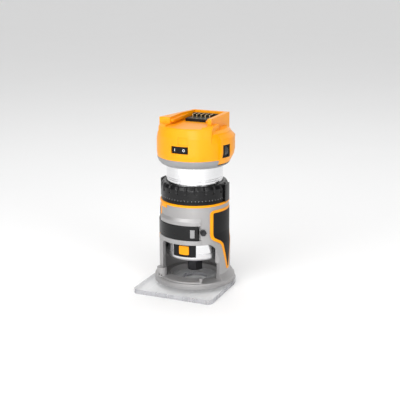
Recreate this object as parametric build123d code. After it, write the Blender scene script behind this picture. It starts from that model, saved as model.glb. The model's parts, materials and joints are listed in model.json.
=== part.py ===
"""Cordless trim router with a fixed base, as separate solids, in millimetres.

The origin is on the spindle's axis at the underside of the sub-base, +Z runs up the spindle
and -Y is the working front, with the clamp lever, the spindle lock and the on/off rocker.
Azimuths are measured about +Z from the front, positive towards +X.
"""

import os
from math import cos, pi, radians, sin

from build123d import *

# ---------------------------------------------------------------- driving dimensions
# Clear sub-base
PLATE_HALF_WIDTH = 51.4
PLATE_FRONT = 72.0
PLATE_THICKNESS = 5.6
PLATE_CORNER_RADIUS = 6.0
GUIDE_SEAT_RADIUS = 17.5
GUIDE_SEAT_DEPTH = 2.0
GUIDE_THROAT_RADIUS = 15.1
PLATE_SCREW_CIRCLE = 44.0
PLATE_SCREW_AZIMUTHS = (20.0, 115.0, 160.0, 245.0)
PLATE_SCREW_RADIUS = 2.0
PLATE_SCREW_HEAD_RADIUS = 4.0
PLATE_SCREW_LENGTH = 10.2

# Motor barrel, which sets the bore of the base
BARREL_RADIUS = 34.5
BARREL_WALL = 2.6
BARREL_BOTTOM = 45.4
BARREL_TOP = 160.0
NOSE_BOTTOM = 36.6
NOSE_FLOOR = 5.0
NOSE_SEAM = 0.8
NOSE_EDGE_RADIUS = 2.4
KEYWAY_WIDTH = 1.8
KEYWAY_DEPTH = 0.9
KEYWAY_AZIMUTH = -8.5
KEY_BOTTOM = 94.5
KEY_TOP = 103.0
KEY_SEAT = 2.4
THREAD_LINE_HEIGHTS = (135.2, 137.4)
THREAD_LINE_WIDTH = 0.6
THREAD_LINE_DEPTH = 0.35

# Cast base
FLANGE_RADIUS = 50.0
FLANGE_EDGE_TOP = 12.0
FLANGE_OPENING_RADIUS = 31.0
RIM_TOP = 14.6
RIM_FALL = 1.2
RIM_INNER_RADIUS = 33.2
RIM_OUTER_RADIUS = 46.6
RIM_AZIMUTHS = (-38.0, 33.0)
LEG_RADIUS = 44.2
LEG_INNER_RADIUS = 38.8
LEG_TAPER_BOTTOM = 58.0
LEG_TAPER_TOP = 72.0
NECK_RADIUS = 42.2
ARCH_TOP = 59.8
ARCH_LEFT = -28.0
ARCH_LEFT_ROUND = 4.0
ARCH_RIGHT = 40.8
ARCH_SPRING_HEIGHT = 33.0
ARCH_CROWN_RIGHT = 31.0
ARCH_DEPTH = 17.4
ARCH_AZIMUTHS = (-36.0, 66.8)
REAR_WINDOW_RADIUS = 40.6
REAR_WINDOW_AZIMUTHS = (128.0, 232.0)
REAR_WINDOW_HEIGHTS = (22.0, 54.0)
CASTING_TOP = 106.2
SPIGOT_RADIUS = 37.6
SPIGOT_TOP = 111.6
BOSS_AZIMUTH = -46.0
BOSS_RADIUS = 6.2
BOSS_CIRCLE = 43.6
BOSS_TOP = 23.4
BOSS_HOLE_RADIUS = 1.0
BOSS_HOLE_DEPTH = 3.0
BOSS_HOLES = ((-32.6, 15.4), (-29.2, 14.2))
POST_AZIMUTH = 33.0
POST_CIRCLE = 42.8
POST_RADIUS = 2.3
POST_TOP = 17.6

# Clamp lever, its pocket and its bolt
LEVER_BOTTOM = 65.6
LEVER_TOP = 83.6
LEVER_OUTER_RADIUS = 44.2
LEVER_INNER_RADIUS = 41.4
LEVER_START_AZIMUTH = -76.0
LEVER_PIVOT_AZIMUTH = 26.0
INSET_AZIMUTHS = (16.0, 23.0)
LEVER_PIVOT_CIRCLE = 41.6
LEVER_KNUCKLE_RADIUS = 3.4
LEVER_PIN_RADIUS = 1.5
POCKET_RADIUS = 40.8
POCKET_START_AZIMUTH = -80.0
POCKET_END_AZIMUTH = 33.0
LEDGE_RADIUS = 43.8
LEDGE_TOP = 88.4
LEDGE_FADE_TOP = 92.4
LEDGE_AZIMUTHS = (-50.0, 33.0)
LIP_AZIMUTHS = (-74.0, 34.0)
SLIT_AZIMUTH = -61.0
SLIT_WIDTH = 1.8
SLIT_TOP = 87.6
BOLT_AZIMUTH = 36.5
BOLT_HEIGHT = 75.6
BOLT_RADIUS = 2.0
BOLT_INNER_RADIUS = 37.4
BOLT_OUTER_RADIUS = 47.4
NUT_ACROSS_FLATS = 7.0
NUT_THICKNESS = 3.4
NUT_SEAT_RADIUS = 42.6
NUT_SPOT_RADIUS = 5.0

# Rubber side grips and their coloured borders
GRIP_FLOOR_RADIUS = 41.0
GRIP_PROUD = 0.7
BORDER_PROUD = 0.35
BORDER_WIDTH = 3.4
GRIP_FRONT_AZIMUTH = 49.0
GRIP_REAR_AZIMUTH = 146.0
GRIP_TOP = 101.5
GRIP_SHOULDER = 65.6
GRIP_KNEE_Y = -15.0
GRIP_KNEE = 57.6
GRIP_TOE = 22.4
GRIP_TOE_HALF_WIDTH = 3.4
GRIP_HEEL_Y = 10.6
GRIP_HEEL = 66.0
GRIP_REAR_SHOULDER = 79.0

# Ring trim, retainer, depth ring and release tabs
TRIM_RADIUS = 42.7
TRIM_TOP = 108.8
TRIM_TAB_AZIMUTHS = (-48.0, -30.0)
TRIM_TAB_BOTTOM = 102.4
RETAINER_RADIUS = 41.2
RETAINER_TOP = 112.0
RETAINER_LIP_RADIUS = 39.7
RETAINER_NECK = 0.9
RETAINER_LIP_BOTTOM = 114.6
RETAINER_LIP_TOP = 116.2
DEPTH_RING_RADIUS = 41.4
DEPTH_RING_TOP = 131.4
DEPTH_RING_CROWN_RADIUS = 37.6
GRIP_BAND_BOTTOM = 121.3
GRIP_LOBES = 22
GRIP_GROOVE_RADIUS = 1.1
SCALE_BOTTOM = 113.4
SCALE_TOP = 120.4
SCALE_THICKNESS = 0.5
TAB_HALF_ANGLE = 9.0
TAB_OUTER_RADIUS = 43.6
TAB_THICKNESS = 1.2
TAB_TOP = 130.6
TAB_FOOT_BOTTOM = 109.2
TAB_FOOT_TOP = 111.2
TAB_FOOT_INNER_RADIUS = 39.4
TAB_TRAVEL = 0.6

# Spindle, bearings and motor internals
SPINDLE_BOTTOM = 24.0
SPINDLE_NOSE_RADIUS = 7.6
COLLAR_RADIUS = 10.0
COLLAR_BOTTOM = 44.0
COLLAR_TOP = 55.6
LOCK_HEIGHT = 49.8
LOCK_PIN_RADIUS = 2.0
LOCK_HOLE_RADIUS = 2.4
LOWER_BEARING_BOTTOM = 60.0
LOWER_BEARING_WIDTH = 11.0
LOWER_BEARING_RADIUS = 14.0
LOWER_JOURNAL_RADIUS = 7.5
UPPER_BEARING_BOTTOM = 128.0
UPPER_BEARING_WIDTH = 7.0
UPPER_BEARING_RADIUS = 9.5
UPPER_JOURNAL_RADIUS = 4.0
ROTOR_RADIUS = 15.6
ROTOR_BOTTOM = 86.0
ROTOR_TOP = 118.0
ROTOR_SHAFT_RADIUS = 6.0
STATOR_INNER_RADIUS = 16.4
STATOR_TEETH = 6
TOOTH_WIDTH = 8.0
COIL_THICKNESS = 3.2
COIL_END_HEIGHT = 5.0
FAN_RADIUS = 28.0
FAN_BOTTOM = 73.6
FAN_HEIGHT = 7.0
FAN_BLADES = 9
COLLET_BORE_RADIUS = 4.0
COLLET_BOTTOM = 18.4
COLLET_TOP = 38.0
COLLET_SLOTS = 4
COLLET_NUT_ACROSS_FLATS = 17.4
COLLET_NUT_RADIUS = 10.0
COLLET_NUT_BOTTOM = 15.6
COLLET_NUT_TOP = 33.0

# Spindle lock in the nose
BEZEL_HALF_ANGLE = 25.6
BEZEL_BOTTOM = 41.4
BEZEL_TOP = 57.4
BEZEL_THICKNESS = 2.5
BUTTON_WIDTH = 13.0
BUTTON_BOTTOM = 44.2
BUTTON_TOP = 55.4
BUTTON_DEPTH = 5.0
BUTTON_TRAVEL = 3.0
SPRING_RADIUS = 3.0
SPRING_WIRE_RADIUS = 0.35
SPRING_TURNS = 5

# Head, its shells and the battery mount
HEAD_RING_BOTTOM = 152.6
HEAD_RING_TOP = 163.0
HEAD_RADIUS = 46.0
HEAD_WALL = 2.4
SHELL_SHOULDER = 196.0
DECK_HALF_WIDTH = 34.5
DECK_FRONT_TOP = 203.6
DECK_FLOOR = 202.0
MOUNT_TOP = 210.8
MOUNT_FRONT_LEFT = (-35.4, -24.6)
MOUNT_REAR_LEFT = (-18.8, 42.2)
MOUNT_REAR_RIGHT = (29.2, 40.6)
MOUNT_FRONT_RIGHT = (28.8, -17.0)
MOUNT_WALL = 3.7
SLOT_LEFT = -22.0
SLOT_RIGHT = 24.0
RAIL_DEPTH = 3.4
RAIL_FRONT_SETBACK = 3.0
RAIL_BOTTOM = 205.2
RAIL_TOP = 208.0
SHELL_SPLIT = -20.5
TERMINAL_FRONT = 6.0
TERMINAL_REAR = 34.0
TERMINAL_LEFT = -15.0
TERMINAL_RIGHT = 17.0
TERMINAL_TOP = 208.4
TERMINAL_SUNK = 5.5
TERMINAL_LEDGE = 9.0
TERMINAL_WALL = 5.0
BLADE_COUNT = 5
BLADE_PITCH = 5.6
BLADE_THICKNESS = 0.8
BLADE_LENGTH = 12.0
BLADE_HEIGHT = 3.4
BLADE_ROOT_HEIGHT = 2.6

# Rocker window in the front, dial window in the side boss
ROCKER_HALF_WIDTH = 10.4
ROCKER_BOTTOM = 172.6
ROCKER_TOP = 180.6
ROCKER_TILT = 10.0
ROCKER_AXLE_DEPTH = 6.0
ROCKER_AXLE_RADIUS = 1.0
ROCKER_SUNK = 0.9
DIAL_BOSS_RADIUS = 49.0
DIAL_BOSS_AZIMUTHS = (62.0, 118.0)
DIAL_BOSS_TOP = 193.0
DIAL_BOSS_BOTTOM = 157.0
DIAL_AZIMUTH = 75.0
DIAL_HEIGHT = 173.4
DIAL_WINDOW_WIDTH = 14.0
DIAL_WINDOW_HEIGHT = 15.6
DIAL_RADIUS = 10.0
DIAL_WIDTH = 6.0
DIAL_CENTRE_RADIUS = 38.6
DIAL_AXLE_RADIUS = 1.5

# Vents and the finger scoop in the head
REAR_VENT_HEIGHTS = (176.0, 182.0, 188.0)
REAR_VENT_TALL = 2.2
BOSS_VENT_HEIGHTS = (171.0, 178.4, 186.0)
BOSS_VENT_AZIMUTH = 107.0
BOSS_VENT_WIDTH = 4.4
BOSS_VENT_TALL = 2.6
SCOOP_DEPTH = 0.7
SCOOP_EDGES = (-1.6, 10.4)
SCOOP_HEIGHTS = (182.4, 192.0)

# Clearances
SLIDE_CLEARANCE = 0.3
RUNNING_CLEARANCE = 0.05
SCREW_CLEARANCE = 0.15
PART_GAP = 0.4
THROUGH = 2.0
FAR = 260.0

parts = {}


def keep(name, shape):
    """Store one finished sub-part under its node name."""
    parts[name] = shape


# ---------------------------------------------------------------- shared shapes
def disc(radius, low, high):
    """Solid cylinder about the spindle's axis between two heights."""
    return Pos(0, 0, low) * Cylinder(radius, high - low, align=(Align.CENTER, Align.CENTER, Align.MIN))


def tube(outer, inner, low, high):
    """Plain ring about the spindle's axis between two heights."""
    return disc(outer, low, high) - disc(inner, low - THROUGH, high + THROUGH)


def turned(*points):
    """Revolve a closed outline of (radius, height) points about the spindle's axis."""
    face = make_face(Polyline(*points, close=True))
    return revolve(Plane.XZ * face, Axis.Z)


def sector(radius, start, end, low, high):
    """Pie-shaped solid from one azimuth to another."""
    face = make_face(Polyline((0, low), (radius, low), (radius, high), (0, high), close=True))
    return Rot(0, 0, start - 90) * revolve(Plane.XZ * face, Axis.Z, revolution_arc=end - start)


def facing(azimuth, radius=0.0, height=0.0):
    """Place whose -Y axis points outwards at an azimuth, at a radius and a height."""
    angle = radians(azimuth)
    return Pos(radius * sin(angle), -radius * cos(angle), height) * Rot(0, 0, azimuth)


def post(azimuth, circle, radius, low, high):
    """Upright round bar at an azimuth on a circle."""
    return facing(azimuth, circle, low) * Cylinder(
        radius, high - low, align=(Align.CENTER, Align.CENTER, Align.MIN)
    )


def radial_bar(azimuth, height, radius, inner, outer):
    """Round bar that points away from the spindle's axis."""
    bar = Cylinder(radius, outer - inner, align=(Align.CENTER, Align.CENTER, Align.MIN))
    return facing(azimuth, inner, height) * Rot(90, 0, 0) * bar


def radial_block(azimuth, inner, outer, width, low, high):
    """Rectangular block that points away from the spindle's axis."""
    block = Box(width, outer - inner, high - low, align=(Align.CENTER, Align.MAX, Align.MIN))
    return facing(azimuth, inner, low) * block


# ---------------------------------------------------------------- sub-base
def sub_base():
    """Clear D-shaped plate with a stepped guide-bush seat and countersunk screw holes."""
    half = PLATE_HALF_WIDTH
    corner = PLATE_CORNER_RADIUS
    block = Box(2 * half, PLATE_FRONT, PLATE_THICKNESS, align=(Align.CENTER, Align.MAX, Align.MIN))
    block = fillet(block.edges().filter_by(Axis.Z).group_by(Axis.Y)[0], corner)
    plate = block + disc(half, 0, PLATE_THICKNESS)
    plate -= disc(GUIDE_THROAT_RADIUS, -THROUGH, PLATE_THICKNESS + THROUGH)
    plate -= disc(GUIDE_SEAT_RADIUS, -THROUGH, GUIDE_SEAT_DEPTH)
    for azimuth in PLATE_SCREW_AZIMUTHS:
        hole = PLATE_SCREW_RADIUS + 2 * SCREW_CLEARANCE
        plate -= post(azimuth, PLATE_SCREW_CIRCLE, hole, -THROUGH, PLATE_THICKNESS + THROUGH)
        head = PLATE_SCREW_HEAD_RADIUS + SCREW_CLEARANCE
        sink = Cone(head, hole, head - hole, align=(Align.CENTER, Align.CENTER, Align.MIN))
        plate -= facing(azimuth, PLATE_SCREW_CIRCLE, 0) * sink
    keep("sub_base", plate)


def sub_base_screws():
    """Countersunk screws that hold the sub-base, with cross-shaped recesses."""
    screws = []
    drop = PLATE_SCREW_HEAD_RADIUS - PLATE_SCREW_RADIUS
    for azimuth in PLATE_SCREW_AZIMUTHS:
        head = Cone(
            PLATE_SCREW_HEAD_RADIUS, PLATE_SCREW_RADIUS, drop, align=(Align.CENTER, Align.CENTER, Align.MIN)
        )
        shank = Cylinder(
            PLATE_SCREW_RADIUS, PLATE_SCREW_LENGTH - drop, align=(Align.CENTER, Align.CENTER, Align.MIN)
        )
        screw = head + Pos(0, 0, drop) * shank
        for turn in (0, 90):
            screw -= Rot(0, 0, turn) * Box(PLATE_SCREW_HEAD_RADIUS, 0.9, 2.4)
        screws.append(facing(azimuth, PLATE_SCREW_CIRCLE, SCREW_CLEARANCE) * screw)
    keep("sub_base_screws", Compound(screws))


# ---------------------------------------------------------------- side grips
def casting_outline(offset=0.0):
    """Outer outline of legs and neck as (radius, height) points, moved out by an offset."""
    return (
        (LEG_RADIUS + offset, PLATE_THICKNESS),
        (LEG_RADIUS + offset, LEG_TAPER_BOTTOM),
        (NECK_RADIUS + offset, LEG_TAPER_TOP),
        (NECK_RADIUS + offset, CASTING_TOP),
    )


def moved_inwards(points, distance):
    """Corners of a polygon, drawn anticlockwise, with each side moved inwards by a distance."""
    moved = []
    for index, (x, y) in enumerate(points):
        before = Vector(x, y) - Vector(*points[index - 1])
        after = Vector(*points[(index + 1) % len(points)]) - Vector(x, y)
        first = Vector(-before.Y, before.X).normalized()
        second = Vector(-after.Y, after.X).normalized()
        shift = (first + second) * (distance / (1 + first.dot(second)))
        moved.append((x + shift.X, y + shift.Y))
    return moved


def grip_face(inset=0.0):
    """Side view of one grip as (Y, Z) corners with rounds, its sides moved inwards by an inset."""
    front = -NECK_RADIUS * cos(radians(GRIP_FRONT_AZIMUTH))
    rear = -NECK_RADIUS * cos(radians(GRIP_REAR_AZIMUTH))
    corners = (
        (rear, GRIP_TOP),
        (front, GRIP_TOP),
        (front, GRIP_SHOULDER),
        (GRIP_KNEE_Y, GRIP_KNEE),
        (-GRIP_TOE_HALF_WIDTH, GRIP_TOE),
        (GRIP_TOE_HALF_WIDTH, GRIP_TOE),
        (GRIP_HEEL_Y, GRIP_HEEL),
        (rear, GRIP_REAR_SHOULDER),
    )
    # outward corners lose the inset from their round, inward corners gain it
    outward = (5.0, 5.0, 8.0, 0.0, 2.6, 2.6, 0.0, 6.0)
    inward = (0.0, 0.0, 0.0, 12.0, 0.0, 0.0, 10.0, 0.0)
    radii = [max(out - inset, 0.6) if out else hollow + inset for out, hollow in zip(outward, inward)]
    points = moved_inwards(corners, inset) if inset else list(corners)
    return make_face(FilletPolyline(*points, radius=radii, close=True))


def grip_prism(inset=0.0):
    """Grip outline driven sideways through the right wall of the base."""
    return extrude(Plane.YZ * grip_face(inset), FAR)


def grips():
    """Rubber pads and coloured borders, one of each on either side."""
    outer_pad = turned((GRIP_FLOOR_RADIUS, PLATE_THICKNESS), *casting_outline(GRIP_PROUD),
                       (GRIP_FLOOR_RADIUS, CASTING_TOP))
    outer_border = turned((GRIP_FLOOR_RADIUS, PLATE_THICKNESS), *casting_outline(BORDER_PROUD),
                          (GRIP_FLOOR_RADIUS, CASTING_TOP))
    inner = grip_prism(BORDER_WIDTH)
    pad = outer_pad & inner
    border = (outer_border & grip_prism()) - inner
    keep("grip_right", pad)
    keep("grip_border_right", border)
    keep("grip_left", mirror(pad, Plane.YZ) - lever_pocket(PART_GAP))
    keep("grip_border_left", mirror(border, Plane.YZ) - lever_pocket(PART_GAP))


# ---------------------------------------------------------------- cast base
def arch_tool():
    """Front opening between the legs, with a wide springing curve on the right."""
    bottom = PLATE_THICKNESS
    low = ARCH_SPRING_HEIGHT
    round_low = ARCH_TOP - ARCH_LEFT_ROUND
    crown_left = ARCH_LEFT + ARCH_LEFT_ROUND
    right = EllipticalCenterArc(
        (ARCH_CROWN_RIGHT, low), ARCH_RIGHT - ARCH_CROWN_RIGHT, ARCH_TOP - low, 0, arc_size=90
    )
    left = EllipticalCenterArc(
        (crown_left, round_low), ARCH_LEFT_ROUND, ARCH_LEFT_ROUND, 90, arc_size=90
    )
    outline = Wire([
        Line((ARCH_LEFT, bottom), (ARCH_RIGHT, bottom)),
        Line((ARCH_RIGHT, bottom), (ARCH_RIGHT, low)),
        right,
        Line((ARCH_CROWN_RIGHT, ARCH_TOP), (crown_left, ARCH_TOP)),
        left,
        Line((ARCH_LEFT, round_low), (ARCH_LEFT, bottom)),
    ])
    front = Pos(0, -ARCH_DEPTH, 0) * extrude(Plane.XZ * make_face(outline), FAR)
    return front + sector(FAR, *ARCH_AZIMUTHS, bottom, low)


def base_casting():
    """Die-cast body: flange, arched legs, clamping neck, lever pocket and spigot."""
    bore = BARREL_RADIUS + SLIDE_CLEARANCE
    walls = turned((LEG_INNER_RADIUS, PLATE_THICKNESS), *casting_outline(), (LEG_INNER_RADIUS, CASTING_TOP))
    walls = walls - arch_tool()
    recess = sector(REAR_WINDOW_RADIUS + 9, *REAR_WINDOW_AZIMUTHS, *REAR_WINDOW_HEIGHTS)
    walls -= recess - disc(REAR_WINDOW_RADIUS, 0, CASTING_TOP)
    dome = turned(
        (LEG_INNER_RADIUS, PLATE_THICKNESS),
        (FLANGE_RADIUS, PLATE_THICKNESS),
        (FLANGE_RADIUS - 0.2, 8.4),
        (FLANGE_RADIUS - 1.8, 13.2),
        (FLANGE_RADIUS - 4.0, 16.4),
        (LEG_RADIUS, 18.6),
        (LEG_INNER_RADIUS, 18.6),
    )
    dome &= sector(FAR, 66.0, 294.0, 0, CASTING_TOP)
    edge = 1.2
    flange = turned(
        (FLANGE_OPENING_RADIUS, PLATE_THICKNESS),
        (FLANGE_RADIUS, PLATE_THICKNESS),
        (FLANGE_RADIUS, FLANGE_EDGE_TOP - edge),
        (FLANGE_RADIUS - edge, FLANGE_EDGE_TOP),
        (FLANGE_OPENING_RADIUS, FLANGE_EDGE_TOP),
    )
    rim = turned(
        (RIM_INNER_RADIUS, FLANGE_EDGE_TOP - 1),
        (RIM_OUTER_RADIUS, FLANGE_EDGE_TOP - 1),
        (RIM_OUTER_RADIUS - 0.6, RIM_TOP - RIM_FALL - 0.6),
        (RIM_OUTER_RADIUS - 2.0, RIM_TOP - RIM_FALL),
        (RIM_INNER_RADIUS, RIM_TOP),
    )
    rim &= sector(FAR, *RIM_AZIMUTHS, 0, CASTING_TOP)
    neck = tube(LEG_INNER_RADIUS + 1, bore, ARCH_TOP, CASTING_TOP)
    spigot = tube(SPIGOT_RADIUS, bore, CASTING_TOP - 1, SPIGOT_TOP)
    ledge = turned(
        (NECK_RADIUS - 1, LEVER_TOP + PART_GAP / 2),
        (LEDGE_RADIUS, LEVER_TOP + PART_GAP / 2),
        (LEDGE_RADIUS, LEDGE_TOP),
        (NECK_RADIUS, LEDGE_FADE_TOP),
        (NECK_RADIUS - 1, LEDGE_FADE_TOP),
    )
    ledge &= sector(FAR, *LEDGE_AZIMUTHS, 0, CASTING_TOP)
    lip = tube(LEG_RADIUS, NECK_RADIUS - 1, ARCH_TOP, LEVER_BOTTOM)
    lip &= sector(FAR, *LIP_AZIMUTHS, 0, CASTING_TOP)
    body = walls + dome + flange + rim + neck + spigot + ledge + lip
    body += post(BOSS_AZIMUTH, BOSS_CIRCLE, BOSS_RADIUS, PLATE_THICKNESS, BOSS_TOP)
    body += post(POST_AZIMUTH, POST_CIRCLE, POST_RADIUS, PLATE_THICKNESS, POST_TOP)
    # lever pocket, pivot clearance and the clamping slit
    body -= lever_pocket(PART_GAP / 2)
    body -= post(LEVER_PIVOT_AZIMUTH, LEVER_PIVOT_CIRCLE, LEVER_KNUCKLE_RADIUS + PART_GAP,
                 LEVER_BOTTOM - PART_GAP / 2, LEVER_TOP + PART_GAP / 2)
    body -= lever_pin_shape(RUNNING_CLEARANCE)
    body -= radial_block(SLIT_AZIMUTH, bore - THROUGH, FAR, SLIT_WIDTH, ARCH_TOP - THROUGH, SLIT_TOP)
    body -= radial_bar(BOLT_AZIMUTH, BOLT_HEIGHT, BOLT_RADIUS + SCREW_CLEARANCE, bore - THROUGH, FAR)
    body -= radial_bar(BOLT_AZIMUTH, BOLT_HEIGHT, NUT_SPOT_RADIUS, NUT_SEAT_RADIUS - PART_GAP / 2, FAR)
    # pockets for the grips, holes for the screws and the guide keys
    pad_pocket = grip_prism() - disc(GRIP_FLOOR_RADIUS, 0, FAR)
    body -= pad_pocket
    body -= mirror(pad_pocket, Plane.YZ)
    for azimuth in PLATE_SCREW_AZIMUTHS:
        body -= post(azimuth, PLATE_SCREW_CIRCLE, PLATE_SCREW_RADIUS + SCREW_CLEARANCE, 0,
                     PLATE_SCREW_LENGTH + 2 * SCREW_CLEARANCE)
    for azimuth in key_azimuths():
        body -= key_shape(azimuth)
    boss_front = BOSS_CIRCLE * cos(radians(BOSS_AZIMUTH)) + BOSS_RADIUS
    for x, z in BOSS_HOLES:
        hole = Cylinder(BOSS_HOLE_RADIUS, FAR, align=(Align.CENTER, Align.CENTER, Align.MIN))
        body -= Pos(x, BOSS_HOLE_DEPTH - boss_front, z) * Rot(90, 0, 0) * hole
    for side in (90, 270):
        body -= tab_foot(side, TAB_TRAVEL + PART_GAP)
    keep("base_casting", body)


def key_azimuths():
    """Azimuths of the two keys that stop the motor from turning in the base."""
    return (KEYWAY_AZIMUTH, KEYWAY_AZIMUTH + 180)


def key_shape(azimuth):
    """One guide key, seated in the neck's wall and reaching into the barrel's keyway."""
    inner = BARREL_RADIUS - KEYWAY_DEPTH + SLIDE_CLEARANCE
    outer = BARREL_RADIUS + SLIDE_CLEARANCE + KEY_SEAT
    return radial_block(azimuth, inner, outer, KEYWAY_WIDTH - 2 * SLIDE_CLEARANCE, KEY_BOTTOM, KEY_TOP)


def guide_keys():
    """The two steel keys in the neck."""
    keep("guide_keys", Compound([key_shape(azimuth) for azimuth in key_azimuths()]))


# ---------------------------------------------------------------- clamp lever
def lever_pocket(gap):
    """Band-shaped room for the lever in the base, with a gap above and below it."""
    pocket = tube(FAR, POCKET_RADIUS, LEVER_BOTTOM - gap, LEVER_TOP + gap)
    return pocket & sector(FAR, POCKET_START_AZIMUTH, POCKET_END_AZIMUTH, 0, CASTING_TOP)


def lever_pin_shape(grow):
    """Upright pivot pin of the lever."""
    return post(LEVER_PIVOT_AZIMUTH, LEVER_PIVOT_CIRCLE, LEVER_PIN_RADIUS + grow,
                LEVER_BOTTOM - 4.0 - grow, LEVER_TOP + 3.6 + grow)


def lock_lever():
    """Curved clamp lever, its finger inset, pivot pin, bolt and nut."""
    band = turned(
        (LEVER_INNER_RADIUS, LEVER_BOTTOM),
        (LEVER_OUTER_RADIUS - 0.6, LEVER_BOTTOM),
        (LEVER_OUTER_RADIUS, LEVER_BOTTOM + 0.6),
        (LEVER_OUTER_RADIUS, LEVER_TOP - 0.6),
        (LEVER_OUTER_RADIUS - 0.6, LEVER_TOP),
        (LEVER_INNER_RADIUS, LEVER_TOP),
    )
    band &= sector(FAR, LEVER_START_AZIMUTH, LEVER_PIVOT_AZIMUTH, 0, FAR)
    knuckle = post(LEVER_PIVOT_AZIMUTH, LEVER_PIVOT_CIRCLE, LEVER_KNUCKLE_RADIUS, LEVER_BOTTOM, LEVER_TOP)
    lever = band + knuckle
    inset_low = LEVER_BOTTOM + 3.6
    inset_high = LEVER_TOP - 4.2
    inset = tube(LEVER_OUTER_RADIUS + 0.4, LEVER_OUTER_RADIUS - 0.9, inset_low, inset_high)
    inset &= sector(FAR, *INSET_AZIMUTHS, 0, FAR)
    lever -= inset
    lever -= post(LEVER_PIVOT_AZIMUTH, LEVER_PIVOT_CIRCLE, LEVER_PIN_RADIUS + RUNNING_CLEARANCE, 0, FAR)
    keep("lock_lever", lever)
    keep("lever_inset", inset)
    keep("lever_pin", lever_pin_shape(0.0))
    bolt = radial_bar(BOLT_AZIMUTH, BOLT_HEIGHT, BOLT_RADIUS, BOLT_INNER_RADIUS, BOLT_OUTER_RADIUS)
    keep("clamp_bolt", bolt)
    flats = RegularPolygon(NUT_ACROSS_FLATS / 2, 6, major_radius=False)
    nut = extrude(flats, NUT_THICKNESS) - Cylinder(BOLT_RADIUS + SCREW_CLEARANCE / 2, 3 * NUT_THICKNESS)
    keep("clamp_nut", facing(BOLT_AZIMUTH, NUT_SEAT_RADIUS, BOLT_HEIGHT) * Rot(90, 0, 0) * nut)


# ---------------------------------------------------------------- trim ring, retainer, depth ring
def tab_foot(azimuth, grow):
    """Inward foot at the bottom of a release tab, grown by its travel and a gap for its slot."""
    spread = 2 * grow
    lift = PART_GAP / 2 if grow else 0.0
    foot = tube(TAB_OUTER_RADIUS, TAB_FOOT_INNER_RADIUS - grow, TAB_FOOT_BOTTOM - lift, TAB_FOOT_TOP + lift)
    return foot & sector(FAR, azimuth - TAB_HALF_ANGLE - spread, azimuth + TAB_HALF_ANGLE + spread, 0, FAR)


def ring_trim():
    """Coloured trim ring under the depth ring, with a tab at the front left."""
    ring = turned(
        (SPIGOT_RADIUS + SCREW_CLEARANCE, CASTING_TOP),
        (TRIM_RADIUS, CASTING_TOP),
        (TRIM_RADIUS, TRIM_TOP - 0.8),
        (TRIM_RADIUS - 0.8, TRIM_TOP),
        (SPIGOT_RADIUS + SCREW_CLEARANCE, TRIM_TOP),
    )
    tab = tube(TRIM_RADIUS + 0.4, NECK_RADIUS, TRIM_TAB_BOTTOM, TRIM_TOP - 0.8)
    tab &= sector(FAR, *TRIM_TAB_AZIMUTHS, 0, FAR)
    keep("ring_trim", ring + tab)


def ring_retainer():
    """Fixed black collar that holds the depth ring down by an outward lip."""
    inner = SPIGOT_RADIUS + SCREW_CLEARANCE
    bore = BARREL_RADIUS + 2 * SLIDE_CLEARANCE
    collar = turned(
        (inner, TRIM_TOP),
        (RETAINER_RADIUS, TRIM_TOP),
        (RETAINER_RADIUS, RETAINER_TOP),
        (SPIGOT_RADIUS + RETAINER_NECK, RETAINER_TOP),
        (SPIGOT_RADIUS + RETAINER_NECK, RETAINER_LIP_BOTTOM),
        (RETAINER_LIP_RADIUS, RETAINER_LIP_BOTTOM),
        (RETAINER_LIP_RADIUS, RETAINER_LIP_TOP),
        (bore, RETAINER_LIP_TOP),
        (bore, SPIGOT_TOP + SCREW_CLEARANCE),
        (inner, SPIGOT_TOP + SCREW_CLEARANCE),
    )
    for side in (90, 270):
        collar -= tab_foot(side, TAB_TRAVEL + PART_GAP)
    keep("ring_retainer", collar)


def depth_ring():
    """Black depth-adjusting ring with a lobed grip above a smooth band."""
    outer = DEPTH_RING_RADIUS
    bottom = RETAINER_TOP + PART_GAP
    groove = RETAINER_LIP_RADIUS + PART_GAP
    crown_inner = BARREL_RADIUS + 2 * SLIDE_CLEARANCE
    ring = turned(
        (SPIGOT_RADIUS + RETAINER_NECK + PART_GAP, bottom),
        (outer, bottom),
        (outer, SCALE_BOTTOM),
        (outer - SCALE_THICKNESS, SCALE_BOTTOM),
        (outer - SCALE_THICKNESS, SCALE_TOP),
        (outer, SCALE_TOP),
        (outer, GRIP_BAND_BOTTOM + 4.0),
        (outer - 1.2, DEPTH_RING_TOP - 2.6),
        (DEPTH_RING_CROWN_RADIUS, DEPTH_RING_TOP),
        (crown_inner, DEPTH_RING_TOP),
        (crown_inner, RETAINER_LIP_TOP + PART_GAP),
        (groove, RETAINER_LIP_TOP + PART_GAP),
        (groove, RETAINER_LIP_BOTTOM - PART_GAP),
        (SPIGOT_RADIUS + RETAINER_NECK + PART_GAP, RETAINER_LIP_BOTTOM - PART_GAP),
    )
    for index in range(GRIP_LOBES):
        azimuth = index * 360 / GRIP_LOBES
        ring -= post(azimuth, outer + 0.3, GRIP_GROOVE_RADIUS, GRIP_BAND_BOTTOM, DEPTH_RING_TOP + THROUGH)
    keep("depth_ring", ring)
    keep("depth_scale", tube(outer, outer - SCALE_THICKNESS, SCALE_BOTTOM, SCALE_TOP))


def release_tabs():
    """Two sprung tabs that let the motor and its ring lift off the base."""
    for azimuth, name in ((90, "right"), (270, "left")):
        plate = tube(TAB_OUTER_RADIUS, TAB_OUTER_RADIUS - TAB_THICKNESS, TAB_FOOT_BOTTOM, TAB_TOP)
        plate &= sector(FAR, azimuth - TAB_HALF_ANGLE, azimuth + TAB_HALF_ANGLE, 0, FAR)
        keep("release_tab_" + name, plate + tab_foot(azimuth, 0.0))


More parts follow.
